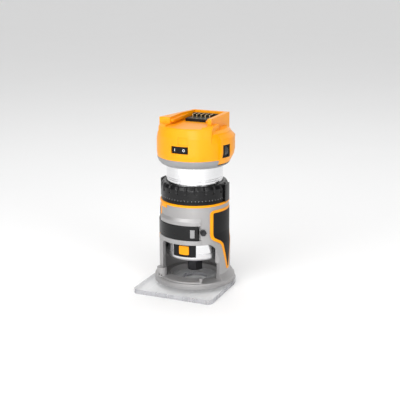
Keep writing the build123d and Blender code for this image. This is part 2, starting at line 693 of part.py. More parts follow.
# ---------------------------------------------------------------- motor barrel and nose
def bezel_tool(grow):
    """Space of the spindle-lock bezel in the barrel and the nose."""
    block = tube(BARREL_RADIUS + THROUGH, BARREL_RADIUS - BEZEL_THICKNESS - grow,
                 BEZEL_BOTTOM - grow, BEZEL_TOP + grow)
    return block & sector(FAR, -BEZEL_HALF_ANGLE - grow, BEZEL_HALF_ANGLE + grow, 0, FAR)


def keyway(azimuth):
    """Lengthwise groove in the barrel for a guide key."""
    return radial_block(azimuth, BARREL_RADIUS - KEYWAY_DEPTH, BARREL_RADIUS + THROUGH, KEYWAY_WIDTH,
                        BARREL_BOTTOM - THROUGH, BARREL_TOP - 6)


def motor_barrel():
    """Polished aluminium barrel with keyways and fine thread lines."""
    barrel = tube(BARREL_RADIUS, BARREL_RADIUS - BARREL_WALL, BARREL_BOTTOM, BARREL_TOP)
    for height in THREAD_LINE_HEIGHTS:
        barrel -= tube(BARREL_RADIUS + THROUGH, BARREL_RADIUS - THREAD_LINE_DEPTH, height,
                       height + THREAD_LINE_WIDTH)
    for azimuth in key_azimuths():
        barrel -= keyway(azimuth)
    barrel -= bezel_tool(SCREW_CLEARANCE)
    barrel -= button_body(BUTTON_TRAVEL + PART_GAP, PART_GAP)
    keep("motor_barrel", barrel)


def nose_housing():
    """Cast nose that carries the lower bearing and closes the barrel."""
    inner = BARREL_RADIUS - BARREL_WALL - SCREW_CLEARANCE
    seat = LOWER_BEARING_RADIUS + SCREW_CLEARANCE / 3
    hub = seat + 3.0
    edge = NOSE_EDGE_RADIUS
    bearing_top = LOWER_BEARING_BOTTOM + LOWER_BEARING_WIDTH
    nose = turned(
        (COLLAR_RADIUS + 1.4, NOSE_BOTTOM),
        (BARREL_RADIUS - edge, NOSE_BOTTOM),
        (BARREL_RADIUS - 0.3 * edge, NOSE_BOTTOM + 0.3 * edge),
        (BARREL_RADIUS, NOSE_BOTTOM + edge),
        (BARREL_RADIUS, BARREL_BOTTOM - NOSE_SEAM),
        (BARREL_RADIUS - NOSE_SEAM, BARREL_BOTTOM - NOSE_SEAM),
        (BARREL_RADIUS - NOSE_SEAM, BARREL_BOTTOM),
        (inner, BARREL_BOTTOM),
        (inner, bearing_top),
        (inner - 3.0, bearing_top),
        (inner - 3.0, NOSE_BOTTOM + NOSE_FLOOR),
        (COLLAR_RADIUS + 1.4, NOSE_BOTTOM + NOSE_FLOOR),
    )
    web = tube(inner - 1, COLLAR_RADIUS + 1.4, COLLAR_TOP + 1.0, LOWER_BEARING_BOTTOM)
    hub_wall = tube(hub, seat, LOWER_BEARING_BOTTOM - 1, bearing_top)
    nose = nose + web + hub_wall
    nose -= bezel_tool(SCREW_CLEARANCE)
    nose -= button_body(BUTTON_TRAVEL + PART_GAP, PART_GAP)
    keep("nose_housing", nose)


def button_body(extra_depth, grow):
    """Block of the lock button, with room behind and around it where asked."""
    width = BUTTON_WIDTH + 2 * grow
    inner = BARREL_RADIUS - BUTTON_DEPTH - extra_depth
    outer = BARREL_RADIUS + (THROUGH if grow else -0.1)
    block = Box(width, FAR - inner, BUTTON_TOP - BUTTON_BOTTOM + 2 * grow,
                align=(Align.CENTER, Align.MAX, Align.MIN))
    block = Pos(0, -inner, BUTTON_BOTTOM - grow) * block
    return block & disc(outer, 0, FAR)


def spindle_lock():
    """Bezel, button, pin and return spring of the spindle lock."""
    bezel = tube(BARREL_RADIUS - 0.1, BARREL_RADIUS - BEZEL_THICKNESS, BEZEL_BOTTOM, BEZEL_TOP)
    bezel &= sector(FAR, -BEZEL_HALF_ANGLE, BEZEL_HALF_ANGLE, 0, FAR)
    bezel -= button_body(BUTTON_TRAVEL + PART_GAP, PART_GAP)
    keep("lock_bezel", bezel)
    button = button_body(0.0, 0.0)
    button = fillet(button.edges().filter_by(Axis.Y), 1.6)
    keep("lock_button", button)
    back = BARREL_RADIUS - BUTTON_DEPTH
    tip = COLLAR_RADIUS + 0.6
    pin = radial_bar(0, LOCK_HEIGHT, LOCK_PIN_RADIUS, tip, back)
    keep("lock_pin", pin)
    wall = back - BUTTON_TRAVEL - PART_GAP
    free = back - wall - 2 * SPRING_WIRE_RADIUS - 0.3
    helix = Helix(pitch=free / SPRING_TURNS, height=free, radius=SPRING_RADIUS)
    start = helix @ 0
    profile = Plane(origin=start, z_dir=helix % 0) * Circle(SPRING_WIRE_RADIUS)
    spring = sweep(profile, path=helix, is_frenet=True)
    keep("lock_spring", Pos(0, -wall - SPRING_WIRE_RADIUS - 0.1, LOCK_HEIGHT) * Rot(90, 0, 0) * spring)


# ---------------------------------------------------------------- spindle, rotor, collet
def spindle_shaft():
    """Stepped spindle with a collet seat, a lock collar and bearing journals."""
    lower_top = LOWER_BEARING_BOTTOM + LOWER_BEARING_WIDTH
    upper_top = UPPER_BEARING_BOTTOM + UPPER_BEARING_WIDTH
    bore = COLLET_BORE_RADIUS + 2.4
    shaft = turned(
        (bore, SPINDLE_BOTTOM),
        (SPINDLE_NOSE_RADIUS, SPINDLE_BOTTOM),
        (SPINDLE_NOSE_RADIUS, COLLAR_BOTTOM),
        (COLLAR_RADIUS, COLLAR_BOTTOM),
        (COLLAR_RADIUS, COLLAR_TOP),
        (LOWER_JOURNAL_RADIUS + 1, COLLAR_TOP),
        (LOWER_JOURNAL_RADIUS + 1, LOWER_BEARING_BOTTOM),
        (LOWER_JOURNAL_RADIUS, LOWER_BEARING_BOTTOM),
        (LOWER_JOURNAL_RADIUS, lower_top),
        (ROTOR_SHAFT_RADIUS, lower_top),
        (ROTOR_SHAFT_RADIUS, UPPER_BEARING_BOTTOM),
        (UPPER_JOURNAL_RADIUS, UPPER_BEARING_BOTTOM),
        (UPPER_JOURNAL_RADIUS, upper_top + 2),
        (0, upper_top + 2),
        (0, COLLET_TOP + 2.6),
        (COLLET_BORE_RADIUS + 0.6, COLLET_TOP + 2.6),
        (COLLET_BORE_RADIUS + 0.6, COLLET_TOP),
    )
    hole = Pos(0, 0, LOCK_HEIGHT) * Rot(90, 0, 0) * Cylinder(LOCK_HOLE_RADIUS, 4 * COLLAR_RADIUS)
    shaft -= hole
    keep("spindle_shaft", shaft)


def rotor():
    """Magnet rotor and the cooling fan below it."""
    keep("rotor", tube(ROTOR_RADIUS, ROTOR_SHAFT_RADIUS, ROTOR_BOTTOM, ROTOR_TOP))
    hub = tube(10.0, ROTOR_SHAFT_RADIUS, FAN_BOTTOM, FAN_BOTTOM + FAN_HEIGHT)
    plate = tube(FAN_RADIUS, 9.0, FAN_BOTTOM + FAN_HEIGHT - 1.4, FAN_BOTTOM + FAN_HEIGHT)
    fan = hub + plate
    for index in range(FAN_BLADES):
        blade = radial_block(index * 360 / FAN_BLADES, 9.5, FAN_RADIUS, 1.4, FAN_BOTTOM + 0.6,
                             FAN_BOTTOM + FAN_HEIGHT - 1)
        fan += blade & disc(FAN_RADIUS, 0, FAR)
    keep("cooling_fan", fan)


def bearings():
    """Ball bearings, each as a closed ring with a shield groove on both faces."""
    lower = (LOWER_BEARING_BOTTOM, LOWER_BEARING_WIDTH, LOWER_BEARING_RADIUS, LOWER_JOURNAL_RADIUS)
    upper = (UPPER_BEARING_BOTTOM, UPPER_BEARING_WIDTH, UPPER_BEARING_RADIUS, UPPER_JOURNAL_RADIUS)
    for name, sizes in (("lower_bearing", lower), ("upper_bearing", upper)):
        low, width, outer, inner = sizes
        wall = (outer - inner) / 4
        bearing = tube(outer, inner + RUNNING_CLEARANCE, low, low + width)
        for face in (low - THROUGH, low + width - 0.6):
            bearing -= tube(outer - wall, inner + wall, face, face + THROUGH + 0.6)
        keep(name, bearing)


def stator():
    """Laminated stator core with teeth, and one coil round each tooth."""
    outer = BARREL_RADIUS - BARREL_WALL - SCREW_CLEARANCE
    yoke = outer - 5.0
    core = tube(outer, yoke, ROTOR_BOTTOM, ROTOR_TOP)
    coils = []
    for index in range(STATOR_TEETH):
        azimuth = (index + 0.5) * 360 / STATOR_TEETH
        core += radial_block(azimuth, STATOR_INNER_RADIUS, yoke + 1, TOOTH_WIDTH, ROTOR_BOTTOM, ROTOR_TOP)
        shoe = STATOR_INNER_RADIUS + 1.8
        wide = TOOTH_WIDTH + 2 * COIL_THICKNESS
        high = COIL_END_HEIGHT
        coil = radial_block(azimuth, shoe + 1.4, yoke - 0.6, wide, ROTOR_BOTTOM - high, ROTOR_TOP + high)
        coil -= radial_block(
            azimuth, shoe, yoke + THROUGH, TOOTH_WIDTH + 0.2, ROTOR_BOTTOM - 0.1, ROTOR_TOP + 0.1
        )
        coils.append(coil & disc(yoke - 0.2, 0, FAR))
    core -= disc(STATOR_INNER_RADIUS, 0, FAR)
    keep("stator_core", core)
    keep("stator_windings", Compound(coils))


def bearing_bridge():
    """Plastic bridge that holds the upper bearing across the barrel."""
    outer = BARREL_RADIUS - BARREL_WALL - SCREW_CLEARANCE
    low = UPPER_BEARING_BOTTOM
    high = low + UPPER_BEARING_WIDTH
    seat = UPPER_BEARING_RADIUS + SCREW_CLEARANCE / 3
    bridge = tube(outer, outer - 2.2, low, high) + tube(seat + 2.6, seat, low, high)
    for azimuth in (45, 135, 225, 315):
        bridge += radial_block(azimuth, seat + 1, outer - 1, 5.0, low + 1, high)
    keep("bearing_bridge", bridge)


def collet_and_nut():
    """Slotted collet in the spindle's nose and the hexagon nut that closes it."""
    outer = COLLET_BORE_RADIUS + 2.0
    tip = outer - 1.4
    collet = turned(
        (COLLET_BORE_RADIUS, COLLET_BOTTOM),
        (outer + 0.6, COLLET_BOTTOM),
        (outer + 0.6, COLLET_BOTTOM + 2.4),
        (outer, COLLET_BOTTOM + 3.6),
        (outer, COLLET_TOP - 14.0),
        (tip - 0.2, COLLET_TOP - 0.6),
        (COLLET_BORE_RADIUS, COLLET_TOP - 0.6),
    )
    for index in range(COLLET_SLOTS):
        azimuth = index * 360 / COLLET_SLOTS + 45
        collet -= radial_block(azimuth, 0, 2 * outer, 0.8, COLLET_BOTTOM + 4.5, COLLET_TOP)
    keep("collet", collet)
    flats = extrude(RegularPolygon(COLLET_NUT_ACROSS_FLATS / 2, 6, major_radius=False), FAR)
    edge = 1.2
    blank = turned(
        (0, COLLET_NUT_BOTTOM),
        (COLLET_NUT_RADIUS - 2 * edge, COLLET_NUT_BOTTOM),
        (COLLET_NUT_RADIUS, COLLET_NUT_BOTTOM + edge),
        (COLLET_NUT_RADIUS, COLLET_NUT_TOP - edge),
        (COLLET_NUT_RADIUS - edge, COLLET_NUT_TOP),
        (0, COLLET_NUT_TOP),
    )
    nut = blank & flats
    nut -= disc(COLLET_BORE_RADIUS + 1.2, 0, FAR)
    nut -= disc(outer + 0.6 + PART_GAP, COLLET_BOTTOM - PART_GAP, FAR)
    nut -= disc(SPINDLE_NOSE_RADIUS + SLIDE_CLEARANCE, COLLET_BOTTOM + 2.4 + PART_GAP, FAR)
    keep("collet_nut", nut)


# ---------------------------------------------------------------- head
def head_solid(inset):
    """Closed outer shape of the yellow head, moved inwards by an inset."""
    r = HEAD_RADIUS - inset
    drum = turned(
        (0, HEAD_RING_TOP),
        (r - 0.4, HEAD_RING_TOP),
        (r + 0.2, HEAD_RING_TOP + 6),
        (r + 0.2, 184.0 - inset),
        (r - 0.8, 190.0 - inset),
        (r - 2.6, 194.4 - inset),
        (r - 6.5, SHELL_SHOULDER + 1.2 - inset),
        (0, SHELL_SHOULDER + 1.2 - inset),
    )
    front = turned(
        (0, HEAD_RING_TOP),
        (r - 0.4, HEAD_RING_TOP),
        (r + 0.2, HEAD_RING_TOP + 6),
        (r + 0.2, 190.0),
        (r - 1.0, DECK_FRONT_TOP - 3.0 - inset),
        (r - 4.0, DECK_FRONT_TOP - inset),
        (0, DECK_FRONT_TOP - inset),
    )
    width = 2 * (DECK_HALF_WIDTH - inset)
    front &= Pos(0, -FAR / 2 - 6, 0) * Box(width, FAR, 4 * FAR)
    boss = turned(
        (0, DIAL_BOSS_BOTTOM + inset),
        (DIAL_BOSS_RADIUS - inset - 5.5, DIAL_BOSS_BOTTOM + inset),
        (DIAL_BOSS_RADIUS - inset - 1.0, DIAL_BOSS_BOTTOM + 9),
        (DIAL_BOSS_RADIUS - inset, DIAL_BOSS_BOTTOM + 15),
        (DIAL_BOSS_RADIUS - inset, DIAL_BOSS_TOP - 5 - inset),
        (DIAL_BOSS_RADIUS - inset - 5, DIAL_BOSS_TOP - inset),
        (0, DIAL_BOSS_TOP - inset),
    )
    start, end = DIAL_BOSS_AZIMUTHS
    angle = inset * 180 / (pi * DIAL_BOSS_RADIUS)
    boss &= sector(FAR, start + angle, end - angle, 0, 4 * FAR)
    boss -= disc(BARREL_RADIUS + 4, 0, HEAD_RING_TOP)
    return drum + front + boss


def mount_slot(low, high):
    """Parallel-sided room for a battery, open to the front, narrowing behind the rails."""
    corners = [MOUNT_FRONT_LEFT, MOUNT_FRONT_RIGHT, MOUNT_REAR_RIGHT, MOUNT_REAR_LEFT]
    front_left, front_right, rear_right, rear_left = moved_inwards(corners, MOUNT_WALL)
    ahead = FAR / 2
    left_run = (front_left[0] - rear_left[0]) / (rear_left[1] - front_left[1])
    right_run = (front_right[0] - rear_right[0]) / (rear_right[1] - front_right[1])
    face = make_face(Polyline(
        (front_left[0] + left_run * (front_left[1] + ahead), -ahead),
        (front_right[0] + right_run * (front_right[1] + ahead), -ahead),
        rear_right,
        rear_left,
        close=True,
    ))
    room = Pos(0, 0, low) * extrude(face, high - low)
    return room & slot_width(0.0)


def slot_width(inset):
    """Block as wide as the battery slot, less an inset on each side."""
    wide = SLOT_RIGHT - SLOT_LEFT - 2 * inset
    return Pos((SLOT_LEFT + SLOT_RIGHT) / 2, 0, 0) * Box(wide, 2 * FAR, 4 * FAR)


def head_body():
    """Head shells as one shape before they are split: drum, boss, deck and battery mount."""
    outside = head_solid(0.0)
    block = make_face(Polyline(
        MOUNT_FRONT_LEFT, MOUNT_FRONT_RIGHT, MOUNT_REAR_RIGHT, MOUNT_REAR_LEFT, close=True
    ))
    mount = Pos(0, 0, SHELL_SHOULDER - 6) * extrude(block, MOUNT_TOP - SHELL_SHOULDER + 6)
    body = outside + mount
    # the slot a battery slides into, and the rail along the top of each wall
    slot = mount_slot(DECK_FLOOR, FAR)
    rails = mount_slot(RAIL_BOTTOM, RAIL_TOP) - slot_width(RAIL_DEPTH)
    for corner, side in ((MOUNT_FRONT_LEFT, -1), (MOUNT_FRONT_RIGHT, 1)):
        ahead = Box(FAR, FAR, FAR, align=(Align.CENTER, Align.MAX, Align.CENTER))
        rails -= Pos(side * FAR / 2, corner[1] + RAIL_FRONT_SETBACK, RAIL_BOTTOM) * ahead
    body -= slot - rails
    # hollow inside, with a floor under the battery
    hollow = head_solid(HEAD_WALL)
    hollow &= Box(FAR, FAR, 2 * (DECK_FLOOR - HEAD_WALL))
    body -= hollow
    body -= disc(HEAD_RADIUS - HEAD_WALL, 0, HEAD_RING_TOP + 1)
    # windows
    body -= rocker_window(PART_GAP)
    body -= dial_window(0.0)
    for height in REAR_VENT_HEIGHTS:
        slot = tube(FAR, HEAD_RADIUS - 6, height, height + REAR_VENT_TALL)
        body -= slot & sector(FAR, 124, 142, 0, FAR)
        body -= slot & sector(FAR, 218, 236, 0, FAR)
    for height in BOSS_VENT_HEIGHTS:
        top = height + BOSS_VENT_TALL
        body -= radial_block(BOSS_VENT_AZIMUTH, HEAD_RADIUS - 6, FAR, BOSS_VENT_WIDTH, height, top)
    left, right = SCOOP_EDGES
    low, high = SCOOP_HEIGHTS
    scoop = Box(right - left, FAR, high - low, align=(Align.MIN, Align.MAX, Align.MIN))
    scoop = Pos(left, 0, low) * scoop - disc(HEAD_RADIUS - SCOOP_DEPTH, 0, FAR)
    return body - scoop


def head_shells():
    """Front and rear shells of the head, split by an upright plane."""
    body = head_body()
    front_half = Pos(0, SHELL_SPLIT - FAR / 2, HEAD_RING_TOP) * Box(2 * FAR, FAR, 2 * FAR)
    front = body & front_half
    rear = body - front_half
    keep("head_front_shell", front)
    keep("head_rear_shell", rear - terminal_opening())


def head_ring():
    """Grey ring that closes the head around the barrel."""
    inner = BARREL_RADIUS + SCREW_CLEARANCE / 3
    wall = 2.4
    start, end = DIAL_BOSS_AZIMUTHS
    ring = turned(
        (inner, HEAD_RING_BOTTOM),
        (38.6, HEAD_RING_BOTTOM),
        (41.6, HEAD_RING_BOTTOM + 1.6),
        (44.2, HEAD_RING_BOTTOM + 4.8),
        (HEAD_RADIUS - 0.4, HEAD_RING_BOTTOM + 8.6),
        (HEAD_RADIUS - 0.4, HEAD_RING_TOP),
        (HEAD_RADIUS - 0.4 - wall, HEAD_RING_TOP),
        (HEAD_RADIUS - 0.4 - wall, HEAD_RING_BOTTOM + 9),
        (39.0, HEAD_RING_BOTTOM + 4.6),
        (inner, HEAD_RING_BOTTOM + 4.6),
    )
    ring -= tube(FAR, BARREL_RADIUS + 4, DIAL_BOSS_BOTTOM - 1, FAR * 2) & sector(FAR, start, end, 0, 2 * FAR)
    keep("head_ring", ring)


# ---------------------------------------------------------------- switch, dial, electronics
def rocker_window(grow):
    """Opening in the front of the head for the rocker."""
    width = 2 * (ROCKER_HALF_WIDTH + grow)
    block = Box(width, FAR, ROCKER_TOP - ROCKER_BOTTOM + 2 * grow, align=(Align.CENTER, Align.MAX, Align.MIN))
    return Pos(0, -30, ROCKER_BOTTOM - grow) * block


def switch():
    """On/off rocker on its upright axle, and the switch body that it turns in."""
    axle_y = -HEAD_RADIUS + ROCKER_AXLE_DEPTH
    middle = (ROCKER_BOTTOM + ROCKER_TOP) / 2
    height = ROCKER_TOP - ROCKER_BOTTOM - PART_GAP
    half = ROCKER_HALF_WIDTH - 2 * PART_GAP
    face_depth = ROCKER_AXLE_DEPTH - ROCKER_SUNK
    rise = half * sin(radians(ROCKER_TILT / 2))
    face = make_face(Polyline(
        (-half, 1.0),
        (half, 1.0),
        (half, -face_depth - rise),
        (0, -face_depth),
        (-half, -face_depth + rise),
        close=True,
    ))
    cap = Pos(0, axle_y, middle - height / 2) * extrude(face, height)
    axle = Pos(0, axle_y, middle) * Cylinder(ROCKER_AXLE_RADIUS, height + 3.0)
    keep("switch_rocker", cap + axle)
    depth = 14.0
    body = Box(2 * ROCKER_HALF_WIDTH + 4, depth, height + 6.0, align=(Align.CENTER, Align.MIN, Align.CENTER))
    body = Pos(0, axle_y - 1.6, middle) * body
    body -= Pos(0, axle_y, middle) * Box(2 * ROCKER_HALF_WIDTH + 1.2, 6.4, height + 1.2)
    body -= Pos(0, axle_y, middle) * Cylinder(ROCKER_AXLE_RADIUS + RUNNING_CLEARANCE, height + 3.6)
    keep("switch_body", body)


def dial_place():
    """Centre of the speed dial, with -Y outwards."""
    return facing(DIAL_AZIMUTH, DIAL_CENTRE_RADIUS, DIAL_HEIGHT)


def dial_window(grow):
    """Opening in the boss for the speed dial's rim."""
    width = DIAL_WINDOW_WIDTH + 2 * grow
    block = Box(width, 30, DIAL_WINDOW_HEIGHT + 2 * grow, align=(Align.CENTER, Align.MAX, Align.CENTER))
    return dial_place() * Pos(0, -2, 0) * block


def speed_dial():
    """Thumb wheel on a level axle, and the bezel and control unit that carry it."""
    place = dial_place() * Rot(0, 90, 0)
    wheel = Cylinder(DIAL_RADIUS, DIAL_WIDTH)
    for index in range(24):
        angle = index * 15
        wheel -= Rot(0, 0, angle) * Pos(DIAL_RADIUS + 0.2, 0, 0) * Cylinder(0.6, 2 * DIAL_WIDTH)
    wheel += Cylinder(DIAL_AXLE_RADIUS, DIAL_WIDTH + 5.0)
    keep("speed_dial", place * wheel)
    outer = DIAL_BOSS_RADIUS - 0.6
    frame = dial_place() * Pos(0, -4.0, 0) * Box(
        DIAL_WINDOW_WIDTH - 0.3, 14.0, DIAL_WINDOW_HEIGHT - 0.3, align=(Align.CENTER, Align.MAX, Align.CENTER)
    )
    frame &= disc(outer, 100, 220)
    room = dial_place() * Box(DIAL_WIDTH + 1.2, 60, 2 * DIAL_RADIUS)
    clear = place * Cylinder(DIAL_RADIUS + PART_GAP, DIAL_WIDTH + 1.2)
    slot = dial_place() * Box(DIAL_WIDTH + 1.0, 60, 12.4)
    frame -= clear + (slot & room)
    keep("dial_bezel", frame)
    cradle = Box(DIAL_WIDTH + 8.0, DIAL_RADIUS + 6.0, 12.0, align=(Align.CENTER, Align.MIN, Align.CENTER))
    cradle = dial_place() * Pos(0, -3.0, 0) * cradle
    cradle -= place * Cylinder(DIAL_RADIUS + PART_GAP, DIAL_WIDTH + 1.2)
    cradle -= place * Cylinder(DIAL_AXLE_RADIUS + RUNNING_CLEARANCE, DIAL_WIDTH + 6.0)
    keep("dial_cradle", cradle)


def terminal_opening():
    """Opening in the deck's floor for the terminal block."""
    gap = PART_GAP / 2
    wide = TERMINAL_RIGHT - TERMINAL_LEFT + 2 * gap
    deep = TERMINAL_REAR - TERMINAL_FRONT + 2 * gap
    return terminal_middle(DECK_FLOOR) * Box(wide, deep, 12.0)


def terminal_middle(height):
    """Middle of the terminal block at a height."""
    return Pos((TERMINAL_LEFT + TERMINAL_RIGHT) / 2, (TERMINAL_FRONT + TERMINAL_REAR) / 2, height)


def electronics():
    """Terminal block and blades, with the controller board below."""
    upright = (Align.CENTER, Align.CENTER, Align.MIN)
    wide = TERMINAL_RIGHT - TERMINAL_LEFT
    deep = TERMINAL_REAR - TERMINAL_FRONT
    bottom = DECK_FLOOR - TERMINAL_SUNK
    ledge = bottom + TERMINAL_LEDGE
    block = terminal_middle(bottom) * Box(wide, deep, TERMINAL_LEDGE, align=upright)
    wall = terminal_middle(bottom) * Pos(0, (deep - TERMINAL_WALL) / 2, 0)
    block += wall * Box(wide, TERMINAL_WALL, TERMINAL_TOP - bottom, align=upright)
    blades = []
    for index in range(BLADE_COUNT):
        across = (index - (BLADE_COUNT - 1) / 2) * BLADE_PITCH
        spot = terminal_middle(ledge) * Pos(across, deep / 2 - TERMINAL_WALL, 0)
        bar = Box(BLADE_THICKNESS, BLADE_LENGTH, BLADE_HEIGHT, align=(Align.CENTER, Align.MAX, Align.MIN))
        blade = spot * bar
        root = spot * Pos(0, 1.0, 0) * Box(BLADE_THICKNESS, 3.0, BLADE_ROOT_HEIGHT, align=upright)
        blades.append(blade + root)
        block -= root
    keep("terminal_block", block)
    keep("terminal_blades", Compound(blades))
    board = Pos(0, 2.0, BARREL_TOP + 4.0) * Box(48.0, 44.0, 1.6)
    keep("controller_board", board)
    pack = Pos(0, 4.0, BARREL_TOP + 4.8) * Box(30.0, 30.0, 7.0, align=upright)
    keep("power_module", pack)


# ---------------------------------------------------------------- build and write
def main():
    """Model every sub-part and write one STEP file for each."""
    sub_base()
    sub_base_screws()
    grips()
    base_casting()
    guide_keys()
    lock_lever()
    ring_trim()
    ring_retainer()
    depth_ring()
    release_tabs()
    motor_barrel()
    nose_housing()
    spindle_lock()
    spindle_shaft()
    rotor()
    bearings()
    stator()
    bearing_bridge()
    collet_and_nut()
    head_shells()
    head_ring()
    switch()
    speed_dial()
    electronics()
    os.makedirs("parts", exist_ok=True)
    for name, shape in parts.items():
        export_step(shape, "parts/" + name + ".step")


main()
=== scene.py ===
"""Looks of the cordless trim router: finishes, turned parts, marks and the studio.

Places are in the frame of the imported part: +Z runs up the spindle, -Y is the working front
and +X the side of the speed dial. The scene is in metres. A sub-assembly's own sizes are in
millimetres and are turned into metres where a mesh is made.
"""

import json
import logging
from dataclasses import dataclass, field
from enum import Enum
from math import cos, pi, radians, sin
from typing import Any, ClassVar, Dict, List, Optional, Sequence, Tuple

import bmesh
import bpy
from mathutils import Matrix, Vector


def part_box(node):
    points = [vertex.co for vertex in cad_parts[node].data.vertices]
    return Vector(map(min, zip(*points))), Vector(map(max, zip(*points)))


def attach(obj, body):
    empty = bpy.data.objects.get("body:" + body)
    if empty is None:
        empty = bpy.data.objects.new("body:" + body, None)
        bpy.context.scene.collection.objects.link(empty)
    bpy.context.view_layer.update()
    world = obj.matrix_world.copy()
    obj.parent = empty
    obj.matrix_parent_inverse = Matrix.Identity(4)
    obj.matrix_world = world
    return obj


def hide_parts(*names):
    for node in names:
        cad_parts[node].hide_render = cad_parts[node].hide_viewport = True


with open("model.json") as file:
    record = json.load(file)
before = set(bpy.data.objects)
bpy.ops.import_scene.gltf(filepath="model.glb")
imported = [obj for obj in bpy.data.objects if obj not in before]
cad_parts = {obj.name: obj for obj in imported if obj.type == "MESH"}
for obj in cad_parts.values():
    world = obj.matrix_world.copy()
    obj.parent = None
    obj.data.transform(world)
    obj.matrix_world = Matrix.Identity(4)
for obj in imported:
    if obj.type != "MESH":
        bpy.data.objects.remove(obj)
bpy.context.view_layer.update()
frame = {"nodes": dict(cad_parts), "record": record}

LOG = logging.getLogger("trim_router")
MM = 0.001
SHARP_ANGLE = radians(32)
WELD_DISTANCE = 1e-7
BEVEL_SAMPLES = 6

Point2 = Tuple[float, float]
Point3 = Tuple[float, float, float]
Colour = Tuple[float, float, float]
Stops = Sequence[Tuple[float, float]]
Faces = List[Tuple[int, ...]]

EVEN: Point3 = (1.0, 1.0, 1.0)


# ------------------------------------------------------------------ shader graphs
class Value:
    """One output socket that can be used in Python arithmetic."""

    def __init__(self, graph: "Graph", socket: bpy.types.NodeSocket) -> None:
        """Keep the socket and the graph that it belongs to."""
        self.graph = graph
        self.socket = socket

    def _math(self, operation: str, first: Any, second: Any) -> "Value":
        """Add one Math node.

        Args:
            operation: The node's operation.
            first: Its first operand.
            second: Its second operand.

        Returns:
            The node's result.
        """
        settings = {"operation": operation}
        return self.graph.node("ShaderNodeMath", settings, {0: first, 1: second})

    def __add__(self, other: Any) -> "Value":
        """Sum."""
        return self._math("ADD", self, other)

    __radd__ = __add__

    def __sub__(self, other: Any) -> "Value":
        """Difference."""
        return self._math("SUBTRACT", self, other)

    def __rsub__(self, other: Any) -> "Value":
        """Reflected difference."""
        return self._math("SUBTRACT", other, self)

    def __mul__(self, other: Any) -> "Value":
        """Product."""
        return self._math("MULTIPLY", self, other)

    __rmul__ = __mul__


class Graph:
    """A material's node tree, built from Python."""

    def __init__(self, name: str) -> None:
        """Start a material with only its output node."""
        self.material = bpy.data.materials.new(name)
        self.material.use_nodes = True
        self.tree = self.material.node_tree
        self.tree.nodes.clear()
        self.output = self.tree.nodes.new("ShaderNodeOutputMaterial")

    def node(
        self,
        kind: str,
        settings: Dict[str, Any],
        inputs: Dict[Any, Any],
        output: Any = 0,
    ) -> Value:
        """Add any node.

        Args:
            kind: The node's type.
            settings: Attributes set before its sockets are used; "stops" fills a ramp.
            inputs: Socket names or indices with values or links.
            output: Name or index of the output to return.

        Returns:
            The chosen output.
        """
        made = self.tree.nodes.new(kind)
        for name, setting in settings.items():
            if name == "stops":
                self._fill_ramp(made, setting)
            else:
                setattr(made, name, setting)
        for name, value in inputs.items():
            if isinstance(value, Value):
                self.tree.links.new(value.socket, made.inputs[name])
            else:
                made.inputs[name].default_value = value
        return Value(self, made.outputs[output])

    @staticmethod
    def _fill_ramp(node: bpy.types.Node, stops: Stops) -> None:
        """Set a ramp's stops to greys.

        Args:
            node: The ramp.
            stops: Pairs of position and brightness.
        """
        ramp = node.color_ramp
        while len(ramp.elements) < len(stops):
            ramp.elements.new(1.0)
        for element, (place, grey) in zip(ramp.elements, stops):
            element.position = place
            element.color = (grey, grey, grey, 1.0)

    def place(self) -> Value:
        """Object coordinates."""
        return self.node("ShaderNodeTexCoord", {}, {}, "Object")

    def noise(self, scale: float, detail: float = 3.0, stretch: Point3 = EVEN) -> Value:
        """Noise on object coordinates.

        Args:
            scale: Features per metre.
            detail: Octaves of the noise.
            stretch: Scale of the pattern along each axis.

        Returns:
            The noise's factor.
        """
        spread = {"Vector": self.place(), "Scale": stretch}
        mapped = self.node("ShaderNodeMapping", {}, spread)
        inputs = {"Vector": mapped, "Scale": scale, "Detail": detail}
        return self.node("ShaderNodeTexNoise", {}, inputs, "Fac")

    def ramp(self, factor: Value, stops: Stops) -> Value:
        """Grey ramp over a factor.

        Args:
            factor: Place along the ramp, from 0 to 1.
            stops: Pairs of position and brightness.

        Returns:
            The ramp's colour.
        """
        return self.node("ShaderNodeValToRGB", {"stops": stops}, {"Fac": factor}, "Color")

    def mix(self, factor: Any, first: Colour, second: Colour) -> Value:
        """Blend of two colours.

        Args:
            factor: Share of the second colour.
            first: Colour at factor 0.
            second: Colour at factor 1.

        Returns:
            The blended colour.
        """
        made = self.tree.nodes.new("ShaderNodeMix")
        made.data_type = "RGBA"
        colours = [socket for socket in made.inputs if socket.type == "RGBA"]
        colours[0].default_value = (*first, 1.0)
        colours[1].default_value = (*second, 1.0)
        self.tree.links.new(factor.socket, made.inputs[0])
        blends = [socket for socket in made.outputs if socket.type == "RGBA"]
        return Value(self, blends[0])

    def rounded(self, radius: float) -> Value:
        """Normal with the look of rounded edges.

        Args:
            radius: Radius of the edges in metres.

        Returns:
            The softened normal.
        """
        return self.node("ShaderNodeBevel", {"samples": BEVEL_SAMPLES}, {"Radius": radius})

    def bump(
        self, height: Value, strength: float, depth: float, normal: Optional[Value]
    ) -> Value:
        """Bumped normal.

        Args:
            height: Height pattern.
            strength: Share of the effect.
            depth: Real height of the pattern in metres.
            normal: Normal that it starts from.

        Returns:
            The new normal.
        """
        inputs = {"Height": height, "Strength": strength, "Distance": depth}
        if normal is not None:
            inputs["Normal"] = normal
        return self.node("ShaderNodeBump", {}, inputs)

    def surface(self, inputs: Dict[str, Any]) -> bpy.types.Material:
        """Close the graph with a principled shader.

        Args:
            inputs: Sockets of the shader.

        Returns:
            The finished material.
        """
        shader = self.node("ShaderNodeBsdfPrincipled", {}, inputs, "BSDF")
        self.tree.links.new(shader.socket, self.output.inputs["Surface"])
        return self.material


